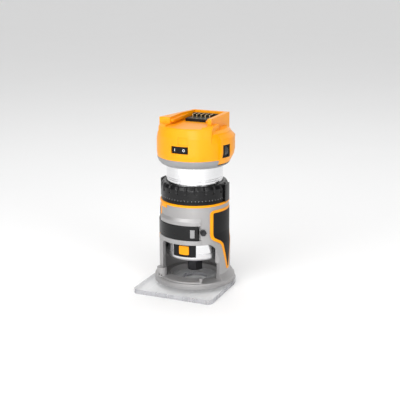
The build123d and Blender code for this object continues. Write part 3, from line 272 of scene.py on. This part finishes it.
class Surroundings(Graph):
    """A world's node tree, built in the same way."""

    def __init__(self, name: str) -> None:
        """Start a world with only its output node."""
        self.world = bpy.data.worlds.new(name)
        self.world.use_nodes = True
        self.tree = self.world.node_tree
        self.tree.nodes.clear()
        self.output = self.tree.nodes.new("ShaderNodeOutputWorld")

    def light(self, strength: Value) -> bpy.types.World:
        """Close the graph with a white background.

        Args:
            strength: Brightness of the background.

        Returns:
            The finished world.
        """
        white = {"Color": (1.0, 1.0, 1.0, 1.0), "Strength": strength}
        shader = self.node("ShaderNodeBackground", {}, white, "Background")
        self.tree.links.new(shader.socket, self.output.inputs["Surface"])
        return self.world


# ------------------------------------------------------------------ finishes
@dataclass(frozen=True)
class Moulded:
    """Moulded plastic or rubber with a fine grain and faint handling marks."""

    name: str
    colour: Colour
    roughness: float
    grain: float = 1500.0
    grain_depth: float = 0.00003
    edge: float = 0.0005
    shift: float = 0.16
    specular: float = 0.5
    cloud_scale: ClassVar[float] = 38.0
    sheen_scale: ClassVar[float] = 160.0
    sheen_swing: ClassVar[float] = 0.10
    grain_strength: ClassVar[float] = 0.5

    def make(self) -> bpy.types.Material:
        """Build the material."""
        graph = Graph(self.name)
        cloud = graph.noise(self.cloud_scale, 4.0)
        speck = graph.noise(self.grain, 2.0)
        dark = tuple(part * (1.0 - self.shift) for part in self.colour)
        light = tuple(min(part * (1.0 + self.shift * 0.5), 1.0) for part in self.colour)
        tone = graph.mix(cloud, dark, light)
        lowest = self.roughness - self.sheen_swing / 2
        sheen = graph.noise(self.sheen_scale, 3.0) * self.sheen_swing + lowest
        rounded = graph.rounded(self.edge)
        normal = graph.bump(speck, self.grain_strength, self.grain_depth, rounded)
        return graph.surface({
            "Base Color": tone,
            "Roughness": sheen,
            "Specular IOR Level": self.specular,
            "Normal": normal,
        })


@dataclass(frozen=True)
class Cast:
    """Die-cast metal under a thin satin lacquer, with a pebbled skin."""

    name: str
    colour: Colour
    metallic: float
    roughness: float
    edge: float = 0.0007
    cloud_scale: ClassVar[float] = 26.0
    pebble_scale: ClassVar[float] = 900.0
    pebble_strength: ClassVar[float] = 0.55
    pebble_depth: ClassVar[float] = 0.00006
    darker: ClassVar[float] = 0.90
    lighter: ClassVar[float] = 1.07
    sheen_swing: ClassVar[float] = 0.14
    sheen_drop: ClassVar[float] = 0.06

    def make(self) -> bpy.types.Material:
        """Build the material."""
        graph = Graph(self.name)
        cloud = graph.noise(self.cloud_scale, 4.0)
        pebble = graph.noise(self.pebble_scale, 4.0)
        dark = tuple(part * self.darker for part in self.colour)
        light = tuple(min(part * self.lighter, 1.0) for part in self.colour)
        tone = graph.mix(cloud, dark, light)
        sheen = pebble * self.sheen_swing + (self.roughness - self.sheen_drop)
        rounded = graph.rounded(self.edge)
        normal = graph.bump(pebble, self.pebble_strength, self.pebble_depth, rounded)
        return graph.surface({
            "Base Color": tone,
            "Metallic": self.metallic,
            "Roughness": sheen,
            "Normal": normal,
        })


@dataclass(frozen=True)
class Machined:
    """Turned or ground metal with fine rings left by the tool."""

    name: str
    colour: Colour
    roughness: float
    rings: float = 1400.0
    metallic: float = 1.0
    edge: float = 0.0003
    ring_stretch: ClassVar[Point3] = (0.01, 0.01, 1.0)
    ring_strength: ClassVar[float] = 0.25
    ring_depth: ClassVar[float] = 0.00002
    ring_sheen: ClassVar[float] = 0.06
    smear_scale: ClassVar[float] = 60.0
    smear_stretch: ClassVar[Point3] = (1.0, 1.0, 0.35)
    smear_sheen: ClassVar[float] = 0.10
    sheen_drop: ClassVar[float] = 0.06
    darker: ClassVar[float] = 0.86

    def make(self) -> bpy.types.Material:
        """Build the material."""
        graph = Graph(self.name)
        lines = graph.noise(self.rings, 2.0, self.ring_stretch)
        smear = graph.noise(self.smear_scale, 4.0, self.smear_stretch)
        dark = tuple(part * self.darker for part in self.colour)
        tone = graph.mix(lines, dark, self.colour)
        lowest = self.roughness - self.sheen_drop
        sheen = smear * self.smear_sheen + lines * self.ring_sheen + lowest
        rounded = graph.rounded(self.edge)
        normal = graph.bump(lines, self.ring_strength, self.ring_depth, rounded)
        return graph.surface({
            "Base Color": tone,
            "Metallic": self.metallic,
            "Roughness": sheen,
            "Normal": normal,
        })


@dataclass(frozen=True)
class Clear:
    """Clear moulded plate with fine scratches, a slight haze, and painted shade with more
    opacity on its upright sides.
    """

    name: str
    colour: Colour
    roughness: float
    # painted shade: darker colour mixed onto the plate's upright sides
    edge_colour: Colour = (0.20, 0.20, 0.23)
    density: float = 0.16
    edge: float = 0.0004
    scratch_scale: ClassVar[float] = 220.0
    scratch_stretch: ClassVar[Point3] = (1.0, 0.06, 1.0)
    scratch_stops: ClassVar[Stops] = ((0.60, 0.0), (0.72, 1.0))
    scratch_sheen: ClassVar[float] = 0.10
    scratch_density: ClassVar[float] = 0.08
    haze_scale: ClassVar[float] = 24.0
    haze_sheen: ClassVar[float] = 0.03
    streak_scale: ClassVar[float] = 70.0
    streak_stretch: ClassVar[Point3] = (1.0, 1.0, 0.15)
    streak_share: ClassVar[float] = 0.9
    side_share: ClassVar[float] = 0.35
    side_density: ClassVar[float] = 0.34
    rim_blend: ClassVar[float] = 0.35
    rim_density: ClassVar[float] = 0.34
    refraction: ClassVar[float] = 1.49

    def make(self) -> bpy.types.Material:
        """Build the material."""
        graph = Graph(self.name)
        scratch = graph.noise(self.scratch_scale, 6.0, self.scratch_stretch)
        haze = graph.noise(self.haze_scale, 3.0)
        thin = graph.ramp(scratch, self.scratch_stops)
        streak = graph.noise(self.streak_scale, 3.0, self.streak_stretch)
        facing = graph.node("ShaderNodeNewGeometry", {}, {}, "Normal")
        level = graph.node("ShaderNodeSeparateXYZ", {}, {0: facing}, "Z")
        side = 1.0 - level * level
        rim = graph.node("ShaderNodeLayerWeight", {}, {"Blend": self.rim_blend}, "Facing")
        # painted shade on the upright sides, streaked up and down; it blends the base colour
        # towards the shade colour
        shade = side * (streak * self.streak_share + self.side_share)
        sheen = thin * self.scratch_sheen + haze * self.haze_sheen + self.roughness
        marks = rim * self.rim_density + thin * self.scratch_density
        return graph.surface({
            "Base Color": graph.mix(shade, self.colour, self.edge_colour),
            "Roughness": sheen,
            "Alpha": marks + side * self.side_density + self.density,
            "IOR": self.refraction,
            "Normal": graph.rounded(self.edge),
        })


@dataclass(frozen=True)
class Paper:
    """Pale studio floor with a soft tooth."""

    name: str
    colour: Colour
    roughness: float = 0.72
    sheen_swing: ClassVar[float] = 0.08
    tooth_scale: ClassVar[float] = 300.0
    tooth_strength: ClassVar[float] = 0.1
    tooth_depth: ClassVar[float] = 0.00005
    cloud_scale: ClassVar[float] = 5.0
    darker: ClassVar[float] = 0.985

    def make(self) -> bpy.types.Material:
        """Build the material."""
        graph = Graph(self.name)
        tooth = graph.noise(self.tooth_scale, 4.0)
        dark = tuple(part * self.darker for part in self.colour)
        return graph.surface({
            "Base Color": graph.mix(graph.noise(self.cloud_scale, 2.0), self.colour, dark),
            "Roughness": tooth * self.sheen_swing + self.roughness,
            "Normal": graph.bump(tooth, self.tooth_strength, self.tooth_depth, None),
        })


NEAR_BLACK: Colour = (0.006, 0.006, 0.0065)
SMOOTH = 0.00001
FINE = 0.00002
COARSE = 0.00007
THIN_EDGE = 0.0001


class Slot(Enum):
    """The record's material slots, each with the finish that it gets."""

    clear_plate = Clear("clear_plate", (0.86, 0.87, 0.88), 0.05)
    cast_metal = Cast("cast_metal", (0.36, 0.352, 0.352), 0.45, 0.40)
    polished_metal = Machined("polished_metal", (0.90, 0.90, 0.91), 0.16)
    nose_metal = Machined("nose_metal", (0.80, 0.80, 0.81), 0.28)
    steel = Machined("steel", (0.62, 0.62, 0.63), 0.30)
    dark_steel = Machined("dark_steel", (0.035, 0.035, 0.038), 0.42, metallic=0.6)
    magnet = Machined("magnet", (0.30, 0.31, 0.33), 0.35)
    laminations = Machined("laminations", (0.24, 0.25, 0.27), 0.45, rings=2600.0)
    copper = Machined("copper", (0.78, 0.36, 0.16), 0.32)
    contact_metal = Machined("contact_metal", (0.85, 0.70, 0.40), 0.25)
    yellow_plastic = Moulded(
        "yellow_plastic", (0.93, 0.345, 0.0), 0.34, shift=0.05, specular=0.28
    )
    black_gloss = Moulded(
        "black_gloss", NEAR_BLACK, 0.26, grain_depth=FINE, specular=0.3
    )
    black_plastic = Moulded("black_plastic", NEAR_BLACK, 0.40, specular=0.2)
    grey_plastic = Moulded("grey_plastic", (0.27, 0.27, 0.275), 0.42, shift=0.08)
    scale_plastic = Moulded(
        "scale_plastic", NEAR_BLACK, 0.26, grain_depth=SMOOTH, specular=0.3
    )
    grip_rubber = Moulded(
        "grip_rubber", (0.008, 0.008, 0.0085), 0.50, 2600.0, COARSE, specular=0.2
    )
    dial_plastic = Moulded("dial_plastic", (0.05, 0.05, 0.052), 0.42)
    board = Moulded("board", (0.02, 0.16, 0.06), 0.40)


class Mark(Enum):
    """Finishes of the printed marks and the floor, which have no slot in the record."""

    white_print = Moulded(
        "white_print", (0.80, 0.80, 0.80), 0.45, edge=THIN_EDGE, shift=0.04
    )
    pale_print = Moulded(
        "pale_print", (0.46, 0.46, 0.47), 0.45, edge=THIN_EDGE, shift=0.04
    )
    floor = Paper("studio_floor", (0.93, 0.93, 0.93))


class Paints:
    """Each finish made once, by name."""

    def __init__(self) -> None:
        """Start with no material made."""
        self._made: Dict[str, bpy.types.Material] = {}

    def get(self, choice: Enum) -> bpy.types.Material:
        """Material of a slot or a mark.

        Args:
            choice: Member of Slot or Mark.

        Returns:
            Its material, made at the first call.
        """
        if choice.name not in self._made:
            self._made[choice.name] = choice.value.make()
        return self._made[choice.name]


# ------------------------------------------------------------------ mesh helpers
def finish_mesh(
    name: str, verts: Sequence[Vector], faces: Sequence[Sequence[int]]
) -> bpy.types.Object:
    """Make an object from vertices and faces, facing outwards and smooth up to sharp edges.

    Args:
        name: Object name.
        verts: Vertices in metres.
        faces: Vertex indices of each face.

    Returns:
        The new object, in the scene.
    """
    mesh = bpy.data.meshes.new(name)
    mesh.from_pydata([tuple(v) for v in verts], [], [tuple(f) for f in faces])
    work = bmesh.new()
    work.from_mesh(mesh)
    bmesh.ops.remove_doubles(work, verts=work.verts, dist=WELD_DISTANCE)
    bmesh.ops.recalc_face_normals(work, faces=work.faces)
    work.to_mesh(mesh)
    work.free()
    for polygon in mesh.polygons:
        polygon.use_smooth = True
    mesh.set_sharp_from_angle(angle=SHARP_ANGLE)
    made = bpy.data.objects.new(name, mesh)
    bpy.context.scene.collection.objects.link(made)
    return made


def turned(name: str, outline: Sequence[Point2], segments: int) -> bpy.types.Object:
    """Closed outline of (radius, height) in millimetres turned about the spindle's axis.

    Args:
        name: Object name.
        outline: Corners of the section.
        segments: Steps round the axis.

    Returns:
        The turned piece.
    """
    verts: List[Vector] = []
    faces: Faces = []
    count = len(outline)
    for turn in range(segments):
        angle = 2 * pi * turn / segments
        for radius, height in outline:
            corner = Vector((radius * sin(angle), -radius * cos(angle), height))
            verts.append(corner * MM)
        following = (turn + 1) % segments
        for index in range(count):
            after = (index + 1) % count
            faces.append((
                turn * count + index,
                turn * count + after,
                following * count + after,
                following * count + index,
            ))
    return finish_mesh(name, verts, faces)


def slab(
    name: str, outline: Sequence[Point2], depth: float, place: Matrix
) -> bpy.types.Object:
    """Flat piece with a given outline, standing upright at a place.

    Args:
        name: Object name.
        outline: Corners as (across, up) in millimetres.
        depth: Thickness in millimetres, outwards from the place.
        place: Placing matrix.

    Returns:
        The new piece.
    """
    count = len(outline)
    verts = [place @ (Vector((x, 0.0, z)) * MM) for x, z in outline]
    verts += [place @ (Vector((x, -depth, z)) * MM) for x, z in outline]
    faces: Faces = [tuple(range(count)), tuple(range(2 * count - 1, count - 1, -1))]
    for index in range(count):
        after = (index + 1) % count
        faces.append((index, after, count + after, count + index))
    return finish_mesh(name, verts, faces)


def join(name: str, pieces: Sequence[bpy.types.Object]) -> bpy.types.Object:
    """Join mesh objects at the origin into one.

    Args:
        name: Name of the result.
        pieces: Objects to join, which are used up.

    Returns:
        The joined object.
    """
    work = bmesh.new()
    for piece in pieces:
        work.from_mesh(piece.data)
        bpy.data.objects.remove(piece)
    mesh = bpy.data.meshes.new(name)
    work.to_mesh(mesh)
    work.free()
    mesh.set_sharp_from_angle(angle=SHARP_ANGLE)
    made = bpy.data.objects.new(name, mesh)
    bpy.context.scene.collection.objects.link(made)
    return made


# ------------------------------------------------------------------ geometry nodes
class Shaper:
    """A Geometry Nodes tree with named inputs, whose result becomes a plain mesh."""

    def __init__(self, name: str) -> None:
        """Start a tree with a geometry input and output."""
        self.tree = bpy.data.node_groups.new(name, "GeometryNodeTree")
        for side in ("INPUT", "OUTPUT"):
            self.tree.interface.new_socket(
                "Geometry", in_out=side, socket_type="NodeSocketGeometry"
            )
        self.sizes: Dict[str, Any] = {}

    def size(self, name: str, value: Any, kind: str = "NodeSocketFloat") -> None:
        """Declare a named input and the value it gets.

        Args:
            name: Input name.
            value: Value set on the modifier.
            kind: Socket type.
        """
        self.tree.interface.new_socket(name, in_out="INPUT", socket_type=kind)
        self.sizes[name] = value

    def start(self) -> None:
        """Add the group's input and output nodes, once all sizes are declared."""
        self.source = self.tree.nodes.new("NodeGroupInput")
        self.sink = self.tree.nodes.new("NodeGroupOutput")

    def node(
        self, kind: str, settings: Dict[str, Any], inputs: Dict[Any, Any]
    ) -> bpy.types.Node:
        """Add a node.

        Args:
            kind: The node's type.
            settings: Attributes set before its sockets are used.
            inputs: Socket names or indices with values or sockets.

        Returns:
            The node.
        """
        made = self.tree.nodes.new(kind)
        for name, setting in settings.items():
            setattr(made, name, setting)
        for name, value in inputs.items():
            if isinstance(value, bpy.types.NodeSocket):
                self.tree.links.new(value, made.inputs[name])
            else:
                made.inputs[name].default_value = value
        return made

    def math(self, operation: str, first: Any, second: Any = 0.0) -> bpy.types.NodeSocket:
        """Add one Math node.

        Args:
            operation: The node's operation.
            first: Its first operand.
            second: Its second operand, where it has one.

        Returns:
            The node's result.
        """
        made = self.node("ShaderNodeMath", {"operation": operation}, {0: first, 1: second})
        return made.outputs[0]

    def smooth_step(self, value: Any, low: Any, high: Any) -> bpy.types.NodeSocket:
        """Smooth rise from 0 to 1.

        Args:
            value: Value that is measured.
            low: Value at which the rise begins.
            high: Value at which it ends.

        Returns:
            The rise at the value.
        """
        settings = {"interpolation_type": "SMOOTHSTEP"}
        made = self.node("ShaderNodeMapRange", settings, {0: value, 1: low, 2: high})
        return made.outputs[0]

    def given(self, name: str) -> bpy.types.NodeSocket:
        """Socket of a named input."""
        return self.source.outputs[name]

    def close(
        self, geometry: bpy.types.NodeSocket, target: bpy.types.Object
    ) -> bpy.types.Object:
        """Realize, set the material and leave the result as the object's plain mesh.

        Args:
            geometry: The geometry to put out.
            target: Object that carries the modifier.

        Returns:
            The object with its new mesh.
        """
        plain = self.node("GeometryNodeRealizeInstances", {}, {"Geometry": geometry})
        painted = self.node("GeometryNodeSetMaterial", {}, {
            "Geometry": plain.outputs[0], "Material": self.given("Finish")
        })
        self.tree.links.new(painted.outputs[0], self.sink.inputs[0])
        modifier = target.modifiers.new(self.tree.name, "NODES")
        modifier.node_group = self.tree
        for item in self.tree.interface.items_tree:
            if getattr(item, "in_out", "") == "INPUT" and item.name in self.sizes:
                modifier[item.identifier] = self.sizes[item.name]
        bpy.context.view_layer.update()
        graph = bpy.context.evaluated_depsgraph_get()
        mesh = bpy.data.meshes.new_from_object(target.evaluated_get(graph))
        target.modifiers.clear()
        target.data = mesh
        for polygon in mesh.polygons:
            polygon.use_smooth = True
        mesh.set_sharp_from_angle(angle=SHARP_ANGLE)
        return target


def lobed(
    piece: bpy.types.Object, paint: bpy.types.Material, sizes: Dict[str, float]
) -> bpy.types.Object:
    """Press evenly spaced grooves into the outside of a turned ring.

    Args:
        piece: The turned ring.
        paint: Its material.
        sizes: Lobes, Groove Power, Groove Depth, Band Bottom, Band Start, Skin In,
            Skin Out and Outer Radius; lengths in metres.

    Returns:
        The grooved ring.
    """
    shaper = Shaper("grooved_band")
    for name, value in sizes.items():
        shaper.size(name, value)
    shaper.size("Finish", paint, "NodeSocketMaterial")
    shaper.start()
    place = shaper.node("GeometryNodeInputPosition", {}, {})
    parts = shaper.node("ShaderNodeSeparateXYZ", {}, {0: place.outputs[0]})
    x, y, z = parts.outputs
    turn = shaper.math("ARCTAN2", y, x)
    flat = shaper.node("ShaderNodeCombineXYZ", {}, {0: x, 1: y, 2: 0.0})
    radius = shaper.node(
        "ShaderNodeVectorMath", {"operation": "LENGTH"}, {0: flat.outputs[0]}
    )
    wave = shaper.math("COSINE", shaper.math("MULTIPLY", turn, shaper.given("Lobes")))
    raised = shaper.math("ADD", shaper.math("MULTIPLY", wave, 0.5), 0.5)
    sharp = shaper.math("POWER", raised, shaper.given("Groove Power"))
    bottom, outer = shaper.given("Band Bottom"), shaper.given("Outer Radius")
    start = shaper.math("ADD", bottom, shaper.given("Band Start"))
    above = shaper.smooth_step(z, bottom, start)
    inner_skin = shaper.math("SUBTRACT", outer, shaper.given("Skin In"))
    outer_skin = shaper.math("SUBTRACT", outer, shaper.given("Skin Out"))
    outside = shaper.smooth_step(radius.outputs["Value"], inner_skin, outer_skin)
    push = shaper.math("MULTIPLY", sharp, shaper.math("MULTIPLY", above, outside))
    inwards = shaper.math("MULTIPLY", shaper.given("Groove Depth"), -1.0)
    push = shaper.math("MULTIPLY", push, inwards)
    outward = shaper.node(
        "ShaderNodeVectorMath", {"operation": "NORMALIZE"}, {0: flat.outputs[0]}
    )
    offset = shaper.node("ShaderNodeVectorMath", {"operation": "SCALE"}, {
        0: outward.outputs[0], "Scale": push
    })
    moved = shaper.node("GeometryNodeSetPosition", {}, {
        "Geometry": shaper.given("Geometry"), "Offset": offset.outputs[0]
    })
    return shaper.close(moved.outputs[0], piece)


def ring_of_blocks(
    name: str, paint: bpy.types.Material, sizes: Dict[str, Any]
) -> bpy.types.Object:
    """Evenly spaced small blocks on a circle about the spindle's axis.

    Args:
        name: Object name.
        paint: Material of the blocks.
        sizes: Count, Radius, Height, Depth, Width and Tall, in metres.

    Returns:
        The blocks as one plain mesh.
    """
    holder = bpy.data.objects.new(name, bpy.data.meshes.new(name))
    bpy.context.scene.collection.objects.link(holder)
    shaper = Shaper("blocks_on_a_circle")
    for label, value in sizes.items():
        kind = "NodeSocketInt" if label == "Count" else "NodeSocketFloat"
        shaper.size(label, value, kind)
    shaper.size("Finish", paint, "NodeSocketMaterial")
    shaper.start()
    circle = shaper.node("GeometryNodeMeshCircle", {}, {
        "Vertices": shaper.given("Count"), "Radius": shaper.given("Radius")
    })
    raised = shaper.node("ShaderNodeCombineXYZ", {}, {2: shaper.given("Height")})
    lifted = shaper.node("GeometryNodeSetPosition", {}, {
        "Geometry": circle.outputs[0], "Offset": raised.outputs[0]
    })
    size = shaper.node("ShaderNodeCombineXYZ", {}, {
        0: shaper.given("Depth"), 1: shaper.given("Width"), 2: shaper.given("Tall")
    })
    block = shaper.node("GeometryNodeMeshCube", {}, {"Size": size.outputs[0]})
    place = shaper.node("GeometryNodeInputPosition", {}, {})
    parts = shaper.node("ShaderNodeSeparateXYZ", {}, {0: place.outputs[0]})
    turn = shaper.math("ARCTAN2", parts.outputs[1], parts.outputs[0])
    spin = shaper.node("ShaderNodeCombineXYZ", {}, {2: turn})
    copies = shaper.node("GeometryNodeInstanceOnPoints", {}, {
        "Points": lifted.outputs[0],
        "Instance": block.outputs[0],
        "Rotation": spin.outputs[0],
    })
    return shaper.close(copies.outputs[0], holder)


# ------------------------------------------------------------------ sub-assemblies
@dataclass
class SubAssembly:
    """One body of the part: its paints, its name and the pieces made for it."""

    paints: Paints
    body: str = "base"
    pieces: List[bpy.types.Object] = field(default_factory=list)

    def dress(self) -> None:
        """Paint the CAD nodes of this body with the finishes of their slots."""
        subparts = frame["record"]["subparts"]
        slots = {part["node"]: part["material_slot"] for part in subparts}
        for node in frame["record"]["behaviour"]["bodies"][self.body]:
            mesh = frame["nodes"][node].data
            mesh.materials.clear()
            mesh.materials.append(self.paints.get(Slot[slots[node]]))

    def add(self, piece: bpy.types.Object, slot: Optional[Slot], paint: Enum) -> None:
        """Paint a finished piece and let it ride on this body.

        Args:
            piece: The piece, in place.
            slot: The record's slot it belongs to, where it has one; not used.
            paint: Its finish.
        """
        piece.data.materials.clear()
        piece.data.materials.append(self.paints.get(paint))
        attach(piece, self.body)
        self.pieces.append(piece)

    def build(self) -> None:
        """Make this sub-assembly's own pieces; a plain one has none."""


@dataclass
class FixedBase(SubAssembly):
    """Cast base with its clear plate, grips and screws."""


@dataclass
class DepthRing(SubAssembly):
    """Depth-adjusting ring with grooves round its grip and a ring of generic ticks."""

    body: str = "depth_ring"
    outer: float = 41.4
    bottom: float = 112.4
    top: float = 131.4
    crown: float = 37.6
    inner: float = 35.1
    chamfer: float = 0.3
    band: float = 121.3
    band_gap: float = 0.4
    grip_rise: float = 4.6
    grip_steps: int = 8
    shoulder_rise: float = 3.6
    shoulder_in: float = 1.4
    lobes: int = 22
    steps_per_lobe: int = 24
    groove: float = 1.1
    groove_power: float = 9.0
    groove_start: float = 0.8
    skin_in: float = 5.0
    skin_out: float = 3.0
    shoulder_shares: Tuple[float, ...] = (0.25, 0.5, 0.75, 1.0)
    crown_shares: Tuple[float, ...] = (0.3, 0.6, 0.85, 1.0)
    ticks: int = 60
    tick_height: float = 113.9
    tick_size: Point3 = (0.08, 0.25, 1.4)

    def section(self) -> List[Point2]:
        """Closed outline of the ring as (radius, height) in millimetres."""
        outer, grip_top = self.outer, self.band + self.grip_rise
        corners: List[Point2] = [
            (self.inner, self.bottom),
            (outer - self.chamfer, self.bottom),
            (outer, self.bottom + self.chamfer),
            (outer, self.band - self.band_gap),
        ]
        corners += [
            (outer, self.band + self.grip_rise * step / self.grip_steps)
            for step in range(self.grip_steps + 1)
        ]
        corners += [
            (
                outer - self.shoulder_in * (1 - cos(pi / 2 * share)),
                grip_top + self.shoulder_rise * share,
            )
            for share in self.shoulder_shares
        ]
        edge, height = corners[-1]
        corners += [
            (
                self.crown + (edge - self.crown) * cos(pi / 2 * share),
                height + (self.top - height) * sin(pi / 2 * share),
            )
            for share in self.crown_shares
        ]
        return corners + [(self.inner, self.top)]

    def build(self) -> None:
        """Make the grooved ring and its ticks."""
        gloss, outer = Slot.black_gloss, self.outer * MM
        ring = turned("depth_ring_skin", self.section(), self.lobes * self.steps_per_lobe)
        lobed(ring, self.paints.get(gloss), {
            "Lobes": float(self.lobes),
            "Groove Power": self.groove_power,
            "Groove Depth": self.groove * MM,
            "Band Bottom": self.band * MM,
            "Band Start": self.groove_start * MM,
            "Skin In": self.skin_in * MM,
            "Skin Out": self.skin_out * MM,
            "Outer Radius": outer,
        })
        self.add(ring, gloss, gloss)
        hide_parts("depth_ring")
        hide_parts("depth_scale")
        depth, width, tall = self.tick_size
        ticks = ring_of_blocks("scale_ticks", self.paints.get(Mark.pale_print), {
            "Count": self.ticks,
            "Radius": outer,
            "Height": self.tick_height * MM,
            "Depth": depth * MM,
            "Width": width * MM,
            "Tall": tall * MM,
        })
        self.add(ticks, None, Mark.pale_print)


@dataclass
class ClampLever(SubAssembly):
    """Clamp lever with its grey inset."""

    body: str = "lock_lever"


@dataclass
class ReleaseTab(SubAssembly):
    """One of the two release tabs."""


@dataclass
class Motor(SubAssembly):
    """Motor with its barrel, head shells and electronics."""

    body: str = "motor"


@dataclass
class Rocker(SubAssembly):
    """On/off rocker with its I and O marks."""

    body: str = "switch_rocker"
    pivot_out: float = 40.0
    tilt: float = 5.0
    reach: float = 5.12
    print_depth: float = 0.06
    mark_offset: float = 6.0
    bar_size: Point2 = (0.6, 3.4)
    ring_radii: Point2 = (1.6, 1.0)

    def build(self) -> None:
        """Make the two marks on the rocker's face."""
        low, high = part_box("switch_rocker")
        turn = radians(self.tilt)
        centre = Vector((0.0, -self.pivot_out * MM, (low.z + high.z) / 2))
        outwards = Vector((0.0, -self.reach * cos(turn) * MM, 0.0))
        place = Matrix.Translation(centre) @ Matrix.Rotation(-turn, 4, "Z")
        place = place @ Matrix.Translation(outwards)
        marks = join("switch_marks", [self.bar(place), self.circle(place)])
        for polygon in marks.data.polygons:
            polygon.use_smooth = False
        self.add(marks, None, Mark.white_print)

    def bar(self, place: Matrix) -> bpy.types.Object:
        """Thin printed bar on one side of the rocker's middle.

        Args:
            place: Placing matrix of the rocker's face.

        Returns:
            The bar.
        """
        across, up = self.bar_size[0] / 2, self.bar_size[1] / 2
        left, right = -self.mark_offset - across, -self.mark_offset + across
        outline = [(left, -up), (right, -up), (right, up), (left, up)]
        return slab("mark_i", outline, self.print_depth, place)

    def circle(self, place: Matrix, points: int = 24) -> bpy.types.Object:
        """Thin printed ring on the other side of the rocker's middle.

        Args:
            place: Placing matrix of the rocker's face.
            points: Steps round the ring.

        Returns:
            The ring.
        """
        turns = [2 * pi * step / points for step in range(points)]
        verts: List[Vector] = []
        for level in (0.0, self.print_depth):
            for radius in self.ring_radii:
                for turn in turns:
                    across = self.mark_offset + radius * cos(turn)
                    corner = Vector((across, -level, radius * sin(turn)))
                    verts.append(place @ (corner * MM))
        faces: Faces = []
        for step in range(points):
            after = (step + 1) % points
            for low, high in ((0, 1), (2, 3), (0, 2), (1, 3)):
                faces.append((
                    low * points + step,
                    low * points + after,
                    high * points + after,
                    high * points + step,
                ))
        return finish_mesh("mark_o", verts, faces)


# ------------------------------------------------------------------ studio
@dataclass(frozen=True)
class Lamp:
    """One rectangular area lamp."""

    name: str
    spot: Point3
    aim: Point3
    size: Point2
    power: float

    def hang(self) -> None:
        """Put the lamp in the scene, looking at its aim."""
        data = bpy.data.lights.new(self.name, "AREA")
        data.shape = "RECTANGLE"
        data.size, data.size_y = self.size
        data.energy = self.power
        made = bpy.data.objects.new(self.name, data)
        made.location = self.spot
        made.rotation_mode = "QUATERNION"
        way = Vector(self.aim) - Vector(self.spot)
        made.rotation_quaternion = way.to_track_quat("-Z", "Y")
        bpy.context.scene.collection.objects.link(made)


MIDDLE: Point3 = (0.0, 0.0, 0.1)
FOOT: Point3 = (0.0, 0.0, 0.03)
LAMPS = (
    Lamp("key", (-0.35, -1.35, 0.75), MIDDLE, (0.9, 0.7), 8.0),
    Lamp("side", (1.25, -0.75, 0.7), MIDDLE, (0.4, 1.2), 4.0),
    Lamp("top", (0.0, 0.2, 1.5), MIDDLE, (1.2, 1.2), 6.0),
    Lamp("low", (0.35, -1.1, 0.22), FOOT, (0.5, 0.3), 3.5),
)


@dataclass
class Studio:
    """Floor, surroundings, lamps and camera; lengths in metres, angles in degrees."""

    paints: Paints
    focal: float = 81.7
    sensor: float = 36.0
    azimuth: float = 23.15
    elevation: float = 15.26
    distance: float = 1.1229
    target_right: float = 0.0064
    target_height: float = 0.10495
    nearest: float = 0.05
    farthest: float = 60.0
    floor_half: float = 12.0
    surround: float = 1.0
    gap_share: float = 0.08
    gaps: Tuple[Tuple[float, ...], ...] = (
        (0.18, 0.21, 0.33, 0.37),
        (0.70, 0.74, 0.87, 0.91),
    )

    def camera(self) -> None:
        """Place the camera."""
        turn, lift = radians(self.azimuth), radians(self.elevation)
        back = Vector((sin(turn) * cos(lift), -cos(turn) * cos(lift), sin(lift)))
        right = Vector((cos(turn), sin(turn), 0.0))
        target = Vector((0.0, 0.0, self.target_height)) + right * self.target_right
        data = bpy.data.cameras.new("camera")
        data.lens = self.focal
        data.sensor_width = self.sensor
        data.clip_start = self.nearest
        data.clip_end = self.farthest
        made = bpy.data.objects.new("camera", data)
        made.location = target + back * self.distance
        made.rotation_mode = "QUATERNION"
        made.rotation_quaternion = (-back).to_track_quat("-Z", "Y")
        bpy.context.scene.collection.objects.link(made)
        bpy.context.scene.camera = made

    def floor(self) -> None:
        """Make the flat floor."""
        size = self.floor_half
        corners = ((-size, -size), (size, -size), (size, size), (-size, size))
        verts = [Vector((x, y, 0.0)) for x, y in corners]
        made = finish_mesh("floor", verts, [(0, 1, 2, 3)])
        made.data.materials.append(self.paints.get(Mark.floor))

    def world(self) -> None:
        """Pale surroundings with two darker gaps, which polished metal shows as bands."""
        graph = Surroundings("surroundings")
        way = graph.node("ShaderNodeTexCoord", {}, {}, "Generated")
        across = graph.node("ShaderNodeSeparateXYZ", {}, {0: way}, "X")
        along = Value(graph, across.socket.node.outputs["Y"])
        operands = {0: across, 1: along * -1.0}
        turn = graph.node("ShaderNodeMath", {"operation": "ARCTAN2"}, operands)
        bright, gap = self.surround, self.surround * self.gap_share
        stops: List[Tuple[float, float]] = [(0.0, bright)]
        for fall, dark_from, dark_to, rise in self.gaps:
            stops += [(fall, bright), (dark_from, gap), (dark_to, gap), (rise, bright)]
        strength = graph.ramp(turn * (0.5 / pi) + 0.5, stops)
        bpy.context.scene.world = graph.light(strength)

    def build(self) -> None:
        """Set everything up."""
        self.world()
        self.floor()
        for lamp in LAMPS:
            lamp.hang()
        self.camera()
        bpy.context.scene.view_settings.view_transform = "Standard"


# ------------------------------------------------------------------ build
def main() -> None:
    """Build every sub-assembly in order, then the studio."""
    logging.basicConfig(level=logging.INFO, format="%(message)s")
    paints = Paints()
    assemblies: List[SubAssembly] = [
        FixedBase(paints),
        DepthRing(paints),
        ClampLever(paints),
        ReleaseTab(paints, "release_tab_left"),
        ReleaseTab(paints, "release_tab_right"),
        Motor(paints),
        SubAssembly(paints, "spindle"),
        SubAssembly(paints, "collet"),
        SubAssembly(paints, "collet_nut"),
        SubAssembly(paints, "lock_button"),
        Rocker(paints),
        SubAssembly(paints, "speed_dial"),
    ]
    for assembly in assemblies:
        assembly.dress()
        assembly.build()
        for piece in assembly.pieces:
            faces = len(piece.data.polygons)
            LOG.info("%s on %s: %d faces", piece.name, assembly.body, faces)
    Studio(paints).build()


if __name__ == "__main__":
    main()
